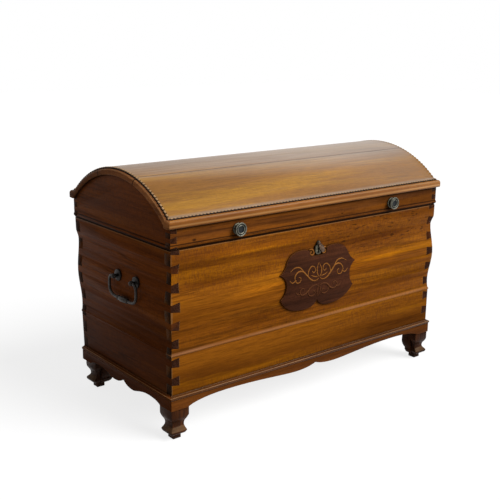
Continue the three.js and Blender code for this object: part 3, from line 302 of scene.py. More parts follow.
# Layers of noise in the wood: how often each varies per metre along the grain and across it, how far it is
# shifted, its detail and its roughness.
LAYERS = {
    "figure": (1.1, 15, 0, 3.0, 0.5),
    "clouds": (2.0, 7, 7, 2.0, 0.5),
    "glow": (1.2, 20, 17, 4.0, 0.6),
    "lines": (4, 130, 13, 4.0, 0.65),
    "ripple": (250, 75, 11, 4.0, 0.75),
    "rippled zone": (1.6, 9, 19, 2.0, 0.5),
    "contour": (1.3, 34, 23, 2.0, 0.4),
    "streaks": (9, 150, 5, 2.0, 0.55),
    "streaked zone": (2.2, 9, 2, 1.0, 0.5),
    "fibre": (30, 420, 3, 3.0, 0.65),
    "knot edge": (90, 150, 0, 2.0, 0.5),
    "pores": (60, 260, 0, 3.0, 0.7),
    "end grime": (2, 16, 29, 1.0, 0.5),
}
FIGURE_SHARE = 0.65
RINGS = 120.0
MARK_STRENGTH = 0.6
KNOT_SQUEEZE = (0.6, 1.0, 1.0)
WOOD_CREVICE = 0.012
WOOD_RELIEF = 0.00025
BARE_ROUGHNESS = 0.8


def layer(finish, name, along, shift, distortion=0.0):
    """One layer of noise, its place in the wood given by shift."""
    long, across, moved, detail, roughness = LAYERS[name]
    return finish.noise(finish.stretch(along, long, across, shift + moved), detail, roughness, distortion)


def figured(finish, along, colours, shift, calm):
    """The wood's body: broad bands of its tones, with the dark lines of its rings."""
    figure = layer(finish, "figure", along, shift, distortion=0.25)
    clouds = layer(finish, "clouds", along, shift)
    mixed = finish.math("ADD", finish.product(figure, FIGURE_SHARE), finish.product(clouds, 1 - FIGURE_SHARE))
    body = finish.ramp(mixed, [(0.38, colours["dark"]), (0.5, colours["middle"]), (0.6, colours["light"])])
    rings = finish.math("SINE", finish.product(figure, RINGS))
    body = finish.blend(finish.rise(rings, 0.2, 1.0, 0.0, 0.3), body, colours["dark"])
    return finish.blend(calm, body, colours["middle"])


def rippled(finish, body, along, colours, shift, rippling):
    """The body with fine ripple across its grain, in patches."""
    ripple = finish.rise(layer(finish, "ripple", along, shift, distortion=0.6), 0.45, 0.62)
    zone = finish.rise(layer(finish, "rippled zone", along, shift), 0.42, 0.58, 0.15, 1.0)
    return finish.blend(finish.product(ripple, zone, rippling), body, colours["ripple"])


def dark_streaks(finish, along, shift):
    """1 along the wood's cracks and streaks, in patches."""
    crack = finish.band(layer(finish, "contour", along, shift), 0.5, core=0.006, edge=0.03)
    streak = finish.rise(layer(finish, "streaks", along, shift), 0.56, 0.66)
    zone = finish.rise(layer(finish, "streaked zone", along, shift), 0.45, 0.6)
    return finish.product(finish.math("MAXIMUM", crack, streak), zone)


def grain(finish, along, colours, shift, calm=0.25, marked=0.6, rippling=0.45):
    """The colour of polished wood whose fibres run along an axis, then its fibres and its dark streaks.

    Calm is how even the figure is, marked how strong its dark lines are and rippling how strong its ripple.
    """
    body = figured(finish, along, colours, shift, calm)
    glow = finish.rise(layer(finish, "glow", along, shift), 0.5, 0.66, 0.0, 0.55)
    body = finish.blend(glow, body, colours["glow"])
    lines = finish.rise(layer(finish, "lines", along, shift), 0.5, 0.64, 0.0, MARK_STRENGTH * marked)
    body = finish.blend(lines, body, colours["dark"])
    body = rippled(finish, body, along, colours, shift, rippling)
    streaks = dark_streaks(finish, along, shift)
    body = finish.blend(finish.product(streaks, MARK_STRENGTH * marked), body, colours["streak"])
    fibre = layer(finish, "fibre", along, shift)
    return finish.scaled(body, finish.math("ADD", fibre, 0.5)), fibre, streaks


def from_axis(finish):
    """How far a point is from the axis that the dome curves round."""
    return finish.distance((0, 0, DOME_CENTRE), (0, 1, 1))


def inner_side(axis, way, outer, wall):
    """A mask for bare wood: 1 on the inner face of a wall that stands on one side of the trunk."""
    def mask(finish):
        return finish.math("LESS_THAN", finish.product(finish.at(axis), way), outer - wall + BARE_MARGIN)
    return mask


def faces_front(finish):
    """A mask for bare wood: 1 where the surface faces the front."""
    return finish.rise(finish.lean("Y"), -0.5, -0.7)


def under_dome(finish):
    """A mask for bare wood: 1 on the hollow side of the dome's boards."""
    hollow = DOME_RADIUS - DOME_THICKNESS
    return finish.rise(from_axis(finish), hollow + BARE_MARGIN, hollow - BARE_MARGIN)


def knotted(finish, colour, dark, along, shift, knots):
    """Dark knots, each given as (x, y, z, radius)."""
    for *place, radius in knots:
        wobble = finish.product(layer(finish, "knot edge", along, shift), radius)
        far = finish.math("ADD", finish.distance(place, KNOT_SQUEEZE), wobble)
        colour = finish.blend(finish.rise(far, radius * 0.8, radius * 1.7, 0.85, 0.0), colour, dark)
    return colour


def end_grain(finish, colour, along, shift, cut):
    """Dark, porous end grain where the surface lies across the fibres."""
    pores = finish.rise(layer(finish, "pores", along, shift), 0.35, 0.65, 0.35, 1.45)
    grime = finish.rise(layer(finish, "end grime", along, shift), 0.35, 0.55, 0.5, 0.92)
    return finish.blend(finish.product(finish.facing(along), grime), colour, finish.scaled(cut, pores))


def wood(name, along, colours, shift=0.0, ends=True, inside=None, knots=(), extra=None, gloss=0.36,
         specular=0.01, cut=TAIL_ENDS, **figure):
    """Polished wood whose fibres run along an axis, with its figure moved by a shift.

    Ends says whether it shows end grain, of the colour cut. Inside is a mask for bare wood, extra the wear,
    painted highlights and painted shade of its own place, and figure is what grain takes.
    """
    finish = Finish(name)
    colour, fibre, streaks = grain(finish, along, colours, shift, **figure)
    colour = knotted(finish, colour, colours["streak"], along, shift, knots)
    if extra:
        colour = extra(finish, colour)
    if ends:
        colour = end_grain(finish, colour, along, shift, cut)
    # Dirt and painted shade deep in corners, from ambient occlusion.
    colour = finish.blend(finish.product(finish.crevice(WOOD_CREVICE), 0.8), colour, DIRT_AND_SHADE)
    rough = finish.math("ADD", finish.product(fibre, 0.16), gloss - 0.06)
    if inside:
        bare, _, _ = grain(finish, along, BARE, shift)
        within = inside(finish)
        colour = finish.blend(within, colour, bare)
        rough = finish.math("MAXIMUM", rough, finish.product(within, BARE_ROUGHNESS))
    finish.bump(finish.math("SUBTRACT", fibre, finish.product(streaks, 0.6)), WOOD_RELIEF)
    return finish.finish(colour, rough, specular=specular)


def right_shade(finish, colour, start=-0.2, left=1.0, right=0.84):
    """A colour a little darker towards the right."""
    return finish.scaled(colour, finish.rise(finish.at("X"), start, RIGHT_END, left, right))


def height_shade(finish, colour, heights, darkest):
    """Wood that darkens towards the foot of the wall."""
    return finish.scaled(colour, finish.rise(finish.at("Z"), *heights, darkest, 1.0))


def corner_wear(finish, colour):
    """The front's upright edges, rubbed pale, most of all low down."""
    edge = finish.rise(finish.math("ABSOLUTE", finish.at("X")), *CORNER_WORN)
    front = finish.rise(finish.lean("Y"), -0.3, -0.8)
    low = finish.rise(finish.at("Z"), *CORNER_FADE, 0.34, 0.12)
    return finish.blend(finish.product(edge, front, low), colour, RUBBED_AND_HIGHLIGHT)


def ridge_wear_highlight_and_shade(finish, colour):
    """The bead across the wall: worn and a painted highlight on its top, dirt and painted shade in the corner
    above.
    """
    above = finish.math("SUBTRACT", finish.at("Z"), RIDGE)
    uneven = finish.patchy(5, 30, 0.45)
    worn = finish.product(finish.band(above, RIDGE_CREST, core=0.001, edge=0.0075, share=0.62), uneven)
    grime = finish.product(finish.band(above, RIDGE_CORNER, core=0.001, edge=0.005, share=0.5), uneven)
    return finish.blend(worn, finish.blend(grime, colour, DIRT_AND_SHADE), RUBBED_RED_AND_HIGHLIGHT)


def seam_shadow_and_wear(finish, colour):
    """The carcass's top edge: a painted shadow in the seam over a thin line of worn polish."""
    below = finish.math("SUBTRACT", SEAM, finish.at("Z"))
    line = finish.band(below, SEAM_LINE, core=0.0006, edge=0.0016, share=0.3)
    return finish.blend(finish.rise(below, *SEAM_DARK, 0.88, 0.0), finish.blend(line, colour, RUBBED_AND_HIGHLIGHT), DIRT_AND_SHADE)


def bead_shadow(finish, colour):
    """Painted shade under the bead along the lid's lower edge and in the corner above it."""
    above = finish.math("SUBTRACT", finish.at("Z"), SEAM)
    colour = finish.blend(finish.rise(above, *BEAD_SHADE, 0.9, 0.12), colour, DIRT_AND_SHADE)
    return finish.blend(finish.band(above, BEAD_CORNER, core=0.001, edge=0.0028, share=0.75), colour, DIRT_AND_SHADE)


def rail_shading(finish, colour):
    """The lid's front rail: a painted shadow under the nosing, painted shade at the bead, darker towards the
    right.
    """
    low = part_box("toe_nosing_front")[0].z
    shaded = finish.scaled(colour, finish.rise(finish.at("Z"), low - NOSING_SHADE, low, 1.0, 0.62))
    return bead_shadow(finish, right_shade(finish, shaded, start=-0.5, left=1.17, right=0.76))


def gable_shading(finish, colour):
    """The gable, a little lighter towards the front, with painted shade at the bead."""
    return bead_shadow(finish, finish.scaled(colour, finish.rise(finish.at("Y"), *GABLE_SHADE, 1.22, 1.06)))


def shoulder_wear_and_highlight(finish, colour, share, axis="Z", face=0.74):
    """A moulding rubbed pale with a painted highlight along its rounded shoulder, and painted shade on its
    face.
    """
    lean = finish.math("ABSOLUTE", finish.lean(axis))
    colour = finish.scaled(colour, finish.rise(lean, 0.0, 0.6, face, 0.98))
    shoulder = finish.product(finish.rise(lean, 0.5, 0.62), finish.rise(lean, 0.84, 0.72))
    return finish.blend(finish.product(shoulder, finish.patchy(9, 60, 0.5), share), colour, RUBBED_AND_HIGHLIGHT)


def nosing_wear_highlight_and_shade(finish, colour):
    """The nosing: worn and painted highlights along its belly and shoulder, painted shade along its lower
    edge.
    """
    low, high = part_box("toe_nosing_front")
    height = finish.math("DIVIDE", finish.math("SUBTRACT", finish.at("Z"), low.z), high.z - low.z)
    shaded = right_shade(finish, colour, start=-0.5, left=1.25, right=0.88)
    colour = finish.scaled(shaded, finish.rise(height, 0.0, 0.2, 0.5, 1.05))
    belly_highlight = finish.band(height, NOSING_BELLY_SHARE, core=0.03, edge=0.19, share=0.85)
    belly_highlight = finish.product(belly_highlight, finish.patchy(3, 60, 0.4))
    return finish.blend(belly_highlight, shoulder_wear_and_highlight(finish, colour, 0.8, face=0.8), RUBBED_GOLD_AND_HIGHLIGHT)


# The front's base moulding: darker, more so to the right, its shoulder worn with a painted highlight, its face
# in painted shade.
def base_wear_and_highlight(finish, colour):
    return shoulder_wear_and_highlight(finish, right_shade(finish, finish.scaled(colour, 0.72)), 0.85)


# A side's base moulding: a little darker, its shoulder worn with a painted highlight, its face in painted
# shade.
def side_base_wear_and_highlight(finish, colour):
    return shoulder_wear_and_highlight(finish, finish.scaled(colour, 0.84), 0.95)


def foot_wear_and_highlight(finish, colour):
    """A foot, rubbed pale with a painted highlight along the ledge over its toe."""
    up = finish.lean("Z")
    ledge = finish.product(finish.rise(up, 0.35, 0.6), finish.rise(up, 0.97, 0.9))
    return finish.blend(finish.product(ledge, finish.patchy(20, 60, 0.4), 0.2), colour, RUBBED_AND_HIGHLIGHT)


def shield_wear_and_highlight(finish, colour):
    """The shield's sawn edge, rubbed to the paler wood, with a painted highlight."""
    edge = finish.rise(finish.lean("Y"), -0.85, -0.4)
    return finish.blend(finish.product(edge, 0.55), colour, SAWN_EDGE_AND_HIGHLIGHT)


# Clouds of the front's figure: (across, height, half length, half height), and what they multiply.
DARK_CLOUDS = [(0.40, 0.345, 0.24, 0.045), (-0.24, 0.318, 0.20, 0.024), (0.42, 0.155, 0.24, 0.035),
               (-0.10, 0.350, 0.16, 0.030), (-0.36, 0.478, 0.26, 0.020), (0.27, 0.508, 0.26, 0.014)]
GLOW_CLOUDS = [(0.26, 0.420, 0.20, 0.026), (-0.21, 0.408, 0.17, 0.024), (-0.30, 0.545, 0.24, 0.016)]
DARKENING = (0.55, 0.5, 0.5, 1.0)
BRIGHTENING = (1.75, 1.75, 1.0, 1.0)


def clouded(finish, colour, clouds, tint, share):
    """Soft, streaky clouds of a tint at their places on the front."""
    wander = finish.noise(finish.stretch("X", 4, 70, 31.0), detail=4.0, roughness=0.6)
    drift = finish.product(finish.math("SUBTRACT", wander, 0.5), 2.2)
    total = 0.0
    for x, z, long, high in clouds:
        far = finish.math("ADD", finish.distance((x, 0, z), (1 / long, 0, 1 / high)), drift)
        total = finish.math("MAXIMUM", total, finish.rise(far, 0.35, 1.1, share, 0.0))
    return finish.blend(total, colour, tint, "MULTIPLY")


def front_marks(finish, colour):
    """Fine ripple across the grain below the seam, and dashes of dark pores on the right."""
    high = finish.rise(finish.at("Z"), *RIPPLE_HIGH)
    ripple = finish.noise(finish.stretch("X", 210, 90, 3.0), detail=4.0, roughness=0.75, distortion=0.8)
    along = finish.noise(finish.stretch("X", 2.4, 24, 6.0))
    zone = finish.product(high, finish.rise(along, 0.36, 0.56))
    marked = finish.product(finish.rise(ripple, 0.44, 0.6), zone)
    colour = finish.blend(finish.product(marked, 0.45), colour, GOLDEN["ripple"])
    dashes = finish.rise(finish.noise(finish.stretch("X", 38, 230, 61.0), detail=1.0), 0.62, 0.68)
    right = finish.product(finish.rise(finish.at("X"), *DASHES_RIGHT), high)
    return finish.blend(finish.product(dashes, right, 0.7), colour, GOLDEN["streak"])


def front_wear_and_shade(finish, colour):
    """The front's marks, clouds, shade and wear, with painted highlight and shade at ridge and seam."""
    colour = front_marks(finish, colour)
    colour = clouded(finish, colour, DARK_CLOUDS, DARKENING, share=0.65)
    colour = clouded(finish, colour, GLOW_CLOUDS, BRIGHTENING, share=0.55)
    colour = height_shade(finish, right_shade(finish, colour), FRONT_SHADE, darkest=0.66)
    return seam_shadow_and_wear(finish, corner_wear(finish, ridge_wear_highlight_and_shade(finish, colour)))


# An end: darker towards the foot, a painted shadow in the seam and a line of worn polish.
def end_shade_and_wear(finish, colour):
    return seam_shadow_and_wear(finish, height_shade(finish, colour, END_SHADE, darkest=0.62))


def from_top(finish):
    """The angle between a point and the dome's top, in radians."""
    up = finish.math("SUBTRACT", finish.at("Z"), DOME_CENTRE)
    return finish.math("ABSOLUTE", finish.math("ARCTAN2", finish.at("Y"), up))


def arch_wear_and_highlight(finish, colour):
    """An arch moulding, darker at the back, its shoulder worn with a painted highlight, dark lines where its
    lengths meet.
    """
    colour = shoulder_wear_and_highlight(finish, colour, 0.55, "X")
    colour = finish.scaled(colour, finish.rise(finish.at("Y"), *ARCH_SHADE, 1.08, 0.64))
    line = finish.band(from_top(finish), math.radians(ARCH_JOINT), core=0.003, edge=0.008, share=0.85)
    return finish.blend(line, colour, DIRT_AND_SHADE)


def dome_sheen_and_joints(finish, colour):
    """A grey painted sheen on the crown and the flare, and dark lines between the dome's boards."""
    colour = finish.scaled(colour, finish.rise(finish.at("X"), *DOME_SHADE, 1.0, 0.86))
    flare = finish.rise(finish.at("Z"), *FLARE_SHEEN, 0.6, 0.0)
    crown_sheen = finish.rise(finish.lean("Z"), 0.87, 0.985, 0.0, 0.55)
    fibre = finish.noise(finish.stretch("X", 5, 170, 51.0), detail=4.0, roughness=0.65)
    sheen_colour = finish.scaled(PAINTED_SHEEN, finish.rise(fibre, 0.35, 0.62, 0.72, 1.12))
    colour = finish.blend(finish.math("MAXIMUM", flare, crown_sheen), colour, sheen_colour)
    line = finish.band(from_top(finish), math.radians(BOARD_JOINT), core=0.0018, edge=0.0050, share=0.9)
    return finish.blend(line, colour, DIRT_AND_SHADE)


METAL_CREVICE = 0.004
METAL_RELIEF = 0.0003


def metal(name, metal_tones, roughness, wear, extra=None):
    """Old metal: dark in its corners, with scratches and bright wear on what stands proud."""
    base, bright, dirt = metal_tones
    finish = Finish(name)
    mottle = finish.noise(finish.stretch("X", 160, 160), detail=4.0, roughness=0.65)
    scratch = finish.noise(finish.stretch("X", 60, 900))
    colour = finish.blend(finish.rise(mottle, 0.35, 0.7), base, bright)
    colour = finish.blend(finish.product(finish.rise(scratch, 0.55, 0.75), wear), colour, bright)
    colour = finish.blend(finish.crevice(METAL_CREVICE), colour, dirt)
    if extra:
        colour = extra(finish, colour)
    finish.bump(mottle, METAL_RELIEF)
    rough = finish.math("ADD", finish.product(mottle, 0.3), roughness - 0.15)
    return finish.finish(colour, rough, metallic=0.85)


def knob_face(finish, colour):
    """The dished middle and the groove of a knob, black with age between brighter rings."""
    low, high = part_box("lid_knob_right")
    across = finish.math("SUBTRACT", finish.math("ABSOLUTE", finish.at("X")), (low.x + high.x) / 2)
    above = finish.math("SUBTRACT", finish.at("Z"), (low.z + high.z) / 2)
    squares = finish.math("ADD", finish.product(across, across), finish.product(above, above))
    far = finish.math("SQRT", squares)
    dish = finish.rise(far, *KNOB_DISH, 1.0, 0.0)
    groove = finish.band(far, KNOB_GROOVE, core=0.0006, edge=0.0018)
    return finish.blend(finish.product(finish.math("MAXIMUM", dish, groove), 0.92), colour, KNOB_DARK)


def assign(material, *names):
    for name in names:
        slots = nodes[name].data.materials
        slots.clear()
        slots.append(material)


# Knots: (x, y, z, radius).
FRONT_KNOTS = [(0.47, -0.273, 0.556, 0.004), (0.23, -0.274, 0.52, 0.003), (-0.3, -0.275, 0.33, 0.004)]
RAIL_KNOTS = [(-0.488, -0.277, 0.602, 0.005), (0.1, -0.277, 0.605, 0.003)]


def paint_carcass():
    inside = inner_side("Y", -1, HALF_DEPTH, WALL)
    front = wood("front_wood", "X", GOLDEN, inside=inside, knots=FRONT_KNOTS, extra=front_wear_and_shade, calm=0.35)
    assign(front, "front_board")
    assign(wood("back_wood", "X", UMBER, 4.0, inside=faces_front), "back_board")
    for side, way in SIDES:
        inside = inner_side("X", way, HALF_WIDTH, WALL)
        assign(wood(f"end_wood_{side}", "Y", UMBER, 9.0 + way, inside=inside, extra=end_shade_and_wear, cut=PIN_ENDS),
               f"{side}_end_board")
    for index, place in enumerate(("front", "middle", "back")):
        assign(wood(f"bottom_wood_{place}", "X", BARE, 60.0 + index, gloss=0.8), f"bottom_board_{place}")
    assign(wood("shield_wood", "X", MAROON, 70.0, ends=False, gloss=0.5, extra=shield_wear_and_highlight), "shield")


def paint_base():
    for side, way in SIDES:
        assign(wood(f"side_base_wood_{side}", "Y", UMBER, 24.0 + way, ends=False, extra=side_base_wear_and_highlight),
               f"plinth_{side}", f"base_moulding_{side}")
    moulding = wood("base_wood", "X", RUSSET, 32.0, ends=False, extra=base_wear_and_highlight, specular=0.12)
    assign(moulding, "base_moulding_front")
    plinth = wood("plinth_wood", "X", RUSSET, 36.0, ends=False, extra=right_shade)
    assign(plinth, "plinth_front", "plinth_back")
    assign(wood("foot_wood", "Z", TREACLE, 40.0, ends=False, extra=foot_wear_and_highlight, specular=0.04),
           *(f"foot_{end}_{side}" for end, _ in ENDS for side, _ in SIDES))


def paint_lid():
    for side, way in SIDES:
        wall = inner_side("X", way, HALF_WIDTH, GABLE_WALL)
        assign(wood(f"gable_wood_{side}", "Y", UMBER, 13.0 + way, inside=wall, extra=gable_shading, cut=PIN_ENDS),
               f"lid_gable_{side}")
        assign(wood(f"arch_wood_{side}", "Y", CHESTNUT, 20.0 + way, ends=False, extra=arch_wear_and_highlight),
               f"arch_moulding_{side}")
    front = inner_side("Y", -1, HALF_DEPTH, RAIL_WALL)
    assign(wood("rail_wood", "X", RUSSET, 16.0, inside=front, knots=RAIL_KNOTS, extra=rail_shading),
           "lid_front_rail")
    back = inner_side("Y", 1, HALF_DEPTH, RAIL_WALL)
    assign(wood("back_rail_wood", "X", UMBER, 18.0, inside=back), "lid_back_rail")
    assign(wood("nosing_wood", "X", TAWNY, 28.0, ends=False, extra=nosing_wear_highlight_and_shade, specular=0.15),
           "toe_nosing_front", "toe_nosing_back")
    for index, place in enumerate(("front", "crown", "back")):
        board = wood(f"dome_{place}_wood", "X", HONEY, 44.0 + 4 * index, inside=under_dome, extra=dome_sheen_and_joints,
                     gloss=0.33, specular=0.35, calm=0.5, marked=0.4, rippling=0.25)
        assign(board, f"dome_board_{place}")


def paint_fittings():
    pewter = metal("pewter", PEWTER, roughness=0.45, wear=0.5, extra=knob_face)
    assign(pewter, "lid_knob_left", "lid_knob_right")
    bronze = metal("dark_bronze", BRONZE, roughness=0.45, wear=0.4)
    assign(bronze, "knob_rosette_left", "knob_rosette_right", "keyhole_plate")
    assign(metal("cover_brass", BRASS, roughness=0.4, wear=0.4), "keyhole_cover", "cover_rivet")
    ironwork = ("handle_post", "hinge", "lid_strap", "knob_nut", "lock")
    iron = metal("iron", IRON, roughness=0.5, wear=0.3)
    assign(iron, *(name for name in nodes if name.startswith(ironwork)))
    worn = metal("worn_iron", WORN_IRON, roughness=0.42, wear=0.5)
    assign(worn, "handle_bail_left", "handle_bail_right")


# Broken edges, in metres, with the angles at which faces count as flat and as sharp.
FITTINGS = ("handle", "keyhole", "cover", "lid_knob", "knob", "hinge", "lid_strap", "lock")
FITTING_EDGE = 0.0002
WOOD_EDGE = 0.0006
FLAT_DEGREES = 0.2
SHARP_DEGREES = 31
SAME_PLACE = 1e-6


def soften_nodes():
    """Smooth curves and small broken edges on every node that stays."""
    for name, node in nodes.items():
        node.data.polygons.foreach_set("use_smooth", [True] * len(node.data.polygons))
        weld = node.modifiers.new("weld", "WELD")
        weld.merge_threshold = SAME_PLACE
        flat = node.modifiers.new("flat", "DECIMATE")
        flat.decimate_type = "DISSOLVE"
        flat.angle_limit = math.radians(FLAT_DEGREES)
        edge = node.modifiers.new("edge", "BEVEL")
        edge.width = FITTING_EDGE if name.startswith(FITTINGS) else WOOD_EDGE
        edge.segments = 2
        edge.limit_method = "ANGLE"
        edge.angle_limit = math.radians(SHARP_DEGREES)
        edge.harden_normals = True


def mesh_piece(name, made, material, body):
    """A new piece from a bmesh, finished and riding on its body."""
    bmesh.ops.recalc_face_normals(made, faces=made.faces)
    data = bpy.data.meshes.new(name)
    made.to_mesh(data)
    made.free()
    data.polygons.foreach_set("use_smooth", [True] * len(data.polygons))
    data.materials.append(material)
    piece = bpy.data.objects.new(name, data)
    bpy.context.scene.collection.objects.link(piece)
    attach(piece, body)
    return piece


def swept(sections):
    """A closed skin over a row of rings of points, with a cap at each end."""
    made = bmesh.new()
    rings = [[made.verts.new(point) for point in ring] for ring in sections]
    for first, second in zip(rings, rings[1:]):
        for i in range(len(first)):
            j = (i + 1) % len(first)
            made.faces.new((first[i], first[j], second[j], second[i]))
    made.faces.new(rings[0])
    made.faces.new(list(reversed(rings[-1])))
    return made


# Strings of pearls on the beads round the dome. A pearl stands on a strip, which reaches from a foot inside
# the dome to a top a little under the bead's height.
PEARL_PITCH = 0.0125
PEARL_STEPS = 8
PEARL_SIDES = 9
PEARL_HALF = 0.0041
PEARL_LEAST = 0.2
ARCH_STRIP_FOOT = 0.0135
ARCH_STRIP_TOP = 0.0032
ARCH_PEARL_LIFT = 0.0007
ARCH_PEARL_RISE = 0.0039
FOOT_STRIP_TOP = 0.003
FOOT_PEARL_LIFT = 0.0003
FOOT_PEARL_RISE = 0.0052
PEARL_CREVICE = 0.005
PEARL_PALE_SHARE = 0.9

# Where a pearl turns pale, worn and with a painted highlight: its distance from the dome's axis, and its
# height over the top of the foot's bead.
ARCH_PEARL_PALE = (DOME_RADIUS - 0.0012, DOME_RADIUS + 0.0010)
FOOT_PEARL_PALE = (-0.0006, 0.0018)


def pearl_share(index):
    """How full a string of pearls is at a step along it, from a fifth between two pearls to 1."""
    across = 2 * (index % PEARL_STEPS) / PEARL_STEPS - 1
    return max(PEARL_LEAST, math.sqrt(max(0.0, 1 - across * across)))


def bead_outline(half, base, top, lift, tall, full):
    """A strip with a pearl on its top, cut across: points (across, out). Full is the pearl's share."""
    ring = [(-half, base), (-half, top)]
    for k in range(PEARL_SIDES):
        turn = math.pi * k / (PEARL_SIDES - 1)
        ring.append((-PEARL_HALF * full * math.cos(turn), top + lift + tall * full * math.sin(turn)))
    return ring + [(half, top), (half, base)]


def arch_pearls(side, material):
    """The bead under an arched end's edge of the dome."""
    low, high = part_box(f"dome_bead_{side}")
    middle, half = (low.x + high.x) / 2, (high.x - low.x) / 2
    reach = math.asin(high.y / DOME_RADIUS)
    steps = PEARL_STEPS * round(2 * reach * DOME_RADIUS / PEARL_PITCH)
    base, top = DOME_RADIUS - ARCH_STRIP_FOOT, DOME_RADIUS - ARCH_STRIP_TOP
    sections = []
    for index in range(steps + 1):
        angle = reach * (2 * index / steps - 1)
        ring = bead_outline(half, base, top, ARCH_PEARL_LIFT, ARCH_PEARL_RISE, pearl_share(index))
        sections.append([Vector((middle + x, r * math.sin(angle), DOME_CENTRE + r * math.cos(angle)))
                         for x, r in ring])
    piece = mesh_piece(f"arch_pearls_{side}", swept(sections), material, "lid")
    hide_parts(f"dome_bead_{side}")


def foot_pearls(end, way, material):
    """The bead along the foot of the dome at the front or the back."""
    low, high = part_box(f"dome_bead_{end}")
    near, far = min(abs(low.y), abs(high.y)), max(abs(low.y), abs(high.y))
    half, middle = (far - near) / 2, (far + near) / 2
    length = high.x - low.x
    steps = PEARL_STEPS * round(length / PEARL_PITCH)
    base, top = low.z, high.z - FOOT_STRIP_TOP
    sections = []
    for index in range(steps + 1):
        x = low.x + length * index / steps
        ring = bead_outline(half, base, top, FOOT_PEARL_LIFT, FOOT_PEARL_RISE, pearl_share(index))
        sections.append([Vector((x, way * (middle + y), z)) for y, z in ring])
    piece = mesh_piece(f"foot_pearls_{end}", swept(sections), material, "lid")
    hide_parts(f"dome_bead_{end}")


def above_dome(finish):
    """How pale a pearl is by its height over the dome's arc."""
    return finish.rise(from_axis(finish), *ARCH_PEARL_PALE, 0.0, PEARL_PALE_SHARE)


def above_foot(finish):
    """How pale a pearl is by its height over the bead at the dome's foot."""
    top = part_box("dome_bead_front")[1].z
    low, high = FOOT_PEARL_PALE
    return finish.rise(finish.at("Z"), top + low, top + high, 0.0, PEARL_PALE_SHARE)


def pearl_finish(name, crown):
    """Dark polish and painted shade in the grooves, worn to a pale crown with a painted highlight on each
    pearl.
    """
    finish = Finish(name)
    worn = finish.product(crown(finish), finish.patchy(40, 40, 0.7))
    colour = finish.blend(worn, PEARL_GROOVE, PEARL_CROWN)
    colour = finish.blend(finish.crevice(PEARL_CREVICE), colour, DIRT_AND_SHADE)
    return finish.finish(colour, roughness=0.5, specular=0.12)


def add_pearls():
    arch = pearl_finish("arch_pearl_wood", above_dome)
    foot = pearl_finish("foot_pearl_wood", above_foot)
    for side, _ in SIDES:
        arch_pearls(side, arch)
    for end, way in ENDS:
        foot_pearls(end, way, foot)


# The shield's carving, in millimetres from its middle: strokes of the right half, each a row of points
# (across, up, half width) that a smooth line is drawn through.
MILLIMETRE = 0.001
SHIELD_MIDDLE = 0.407
UPPER_STROKES = [
    [(3, 0, 1.2), (14, -6, 2.2), (34, -2, 3.0), (54, 16, 3.2), (72, 32, 3.0), (94, 32, 2.6), (106, 16, 2.2),
     (98, 0, 2.0), (84, 0, 1.8), (80, 11, 1.6), (88, 17, 1.3)],
    [(50, 12, 1.4), (46, 30, 2.4), (33, 42, 2.2), (20, 38, 2.0), (17, 26, 1.7), (26, 21, 1.5), (31, 28, 1.2)],
    [(66, 29, 1.4), (82, 45, 2.6), (103, 48, 2.0), (124, 38, 0.8)],
    [(100, 8, 1.4), (116, 2, 2.2), (128, 12, 0.8)],
    [(1, 4, 1.0), (9, 16, 2.2), (9, 32, 2.0), (1, 50, 0.8)],
    [(8, 6, 1.0), (22, 8, 2.2), (36, 14, 0.8)],
]
LOWER_STROKES = [
    [(3, -26, 1.2), (16, -21, 2.2), (36, -26, 3.0), (54, -42, 3.0), (72, -46, 2.6), (82, -35, 2.2),
     (75, -24, 1.9), (64, -26, 1.6), (66, -34, 1.3)],
    [(48, -36, 1.4), (40, -52, 2.4), (26, -57, 2.2), (15, -50, 1.9), (19, -40, 1.6), (27, -42, 1.2)],
    [(1, -26, 1.0), (7, -37, 2.0), (6, -50, 1.8), (1, -64, 0.8)],
    [(78, -42, 1.4), (92, -40, 2.0), (102, -28, 0.8)],
]
VOLUTES = [
    [(37, 94, 2.0), (29, 96, 3.0), (21, 91, 3.4), (19, 82, 3.4), (26, 77, 3.2), (33, 81, 3.0), (31, 88, 2.8),
     (26, 86, 2.6)],
]
STROKE_STEPS = 6

# Where the lines start that find a surface, as Y, and which way they run.
AHEAD = -1.0
INSIDE = 0.0
BEHIND = 0.4
TO_FRONT = Vector((0, -1, 0))
TO_BACK = Vector((0, 1, 0))


def surface(name, start, direction):
    """Where a line first meets a node, and which way the surface faces there."""
    found, hit, normal, _ = nodes[name].ray_cast(Vector(start), direction)
    if not found:
        raise RuntimeError(f"nothing of {name} lies on the line from {start}")
    return hit, normal


def smooth_line(points):
    """A finer row of points along a smooth line through the given ones."""
    rows = [points[0], *points, points[-1]]
    line = []
    for p0, p1, p2, p3 in zip(rows, rows[1:], rows[2:], rows[3:]):
        for step in range(STROKE_STEPS):
            t = step / STROKE_STEPS
            line.append([0.5 * (2 * b + (c - a) * t + (2 * a - 5 * b + 4 * c - d) * t * t
                                + (3 * b - a - 3 * c + d) * t ** 3) for a, b, c, d in zip(p0, p1, p2, p3)])
    return line + [list(points[-1])]


def draw_stroke(curve, line, way, under, sink):
    """A stroke laid on the face of a node, and sunk into it by a share of its half width."""
    spline = curve.splines.new("POLY")
    spline.points.add(len(line) - 1)
    for point, (x, z, width) in zip(spline.points, line):
        place = Vector((way * x * MILLIMETRE, AHEAD, SHIELD_MIDDLE + z * MILLIMETRE))
        hit, _ = surface(under, place, TO_BACK)
        point.co = (place.x, hit.y + sink * width * MILLIMETRE, place.z, 1)
        point.radius = width


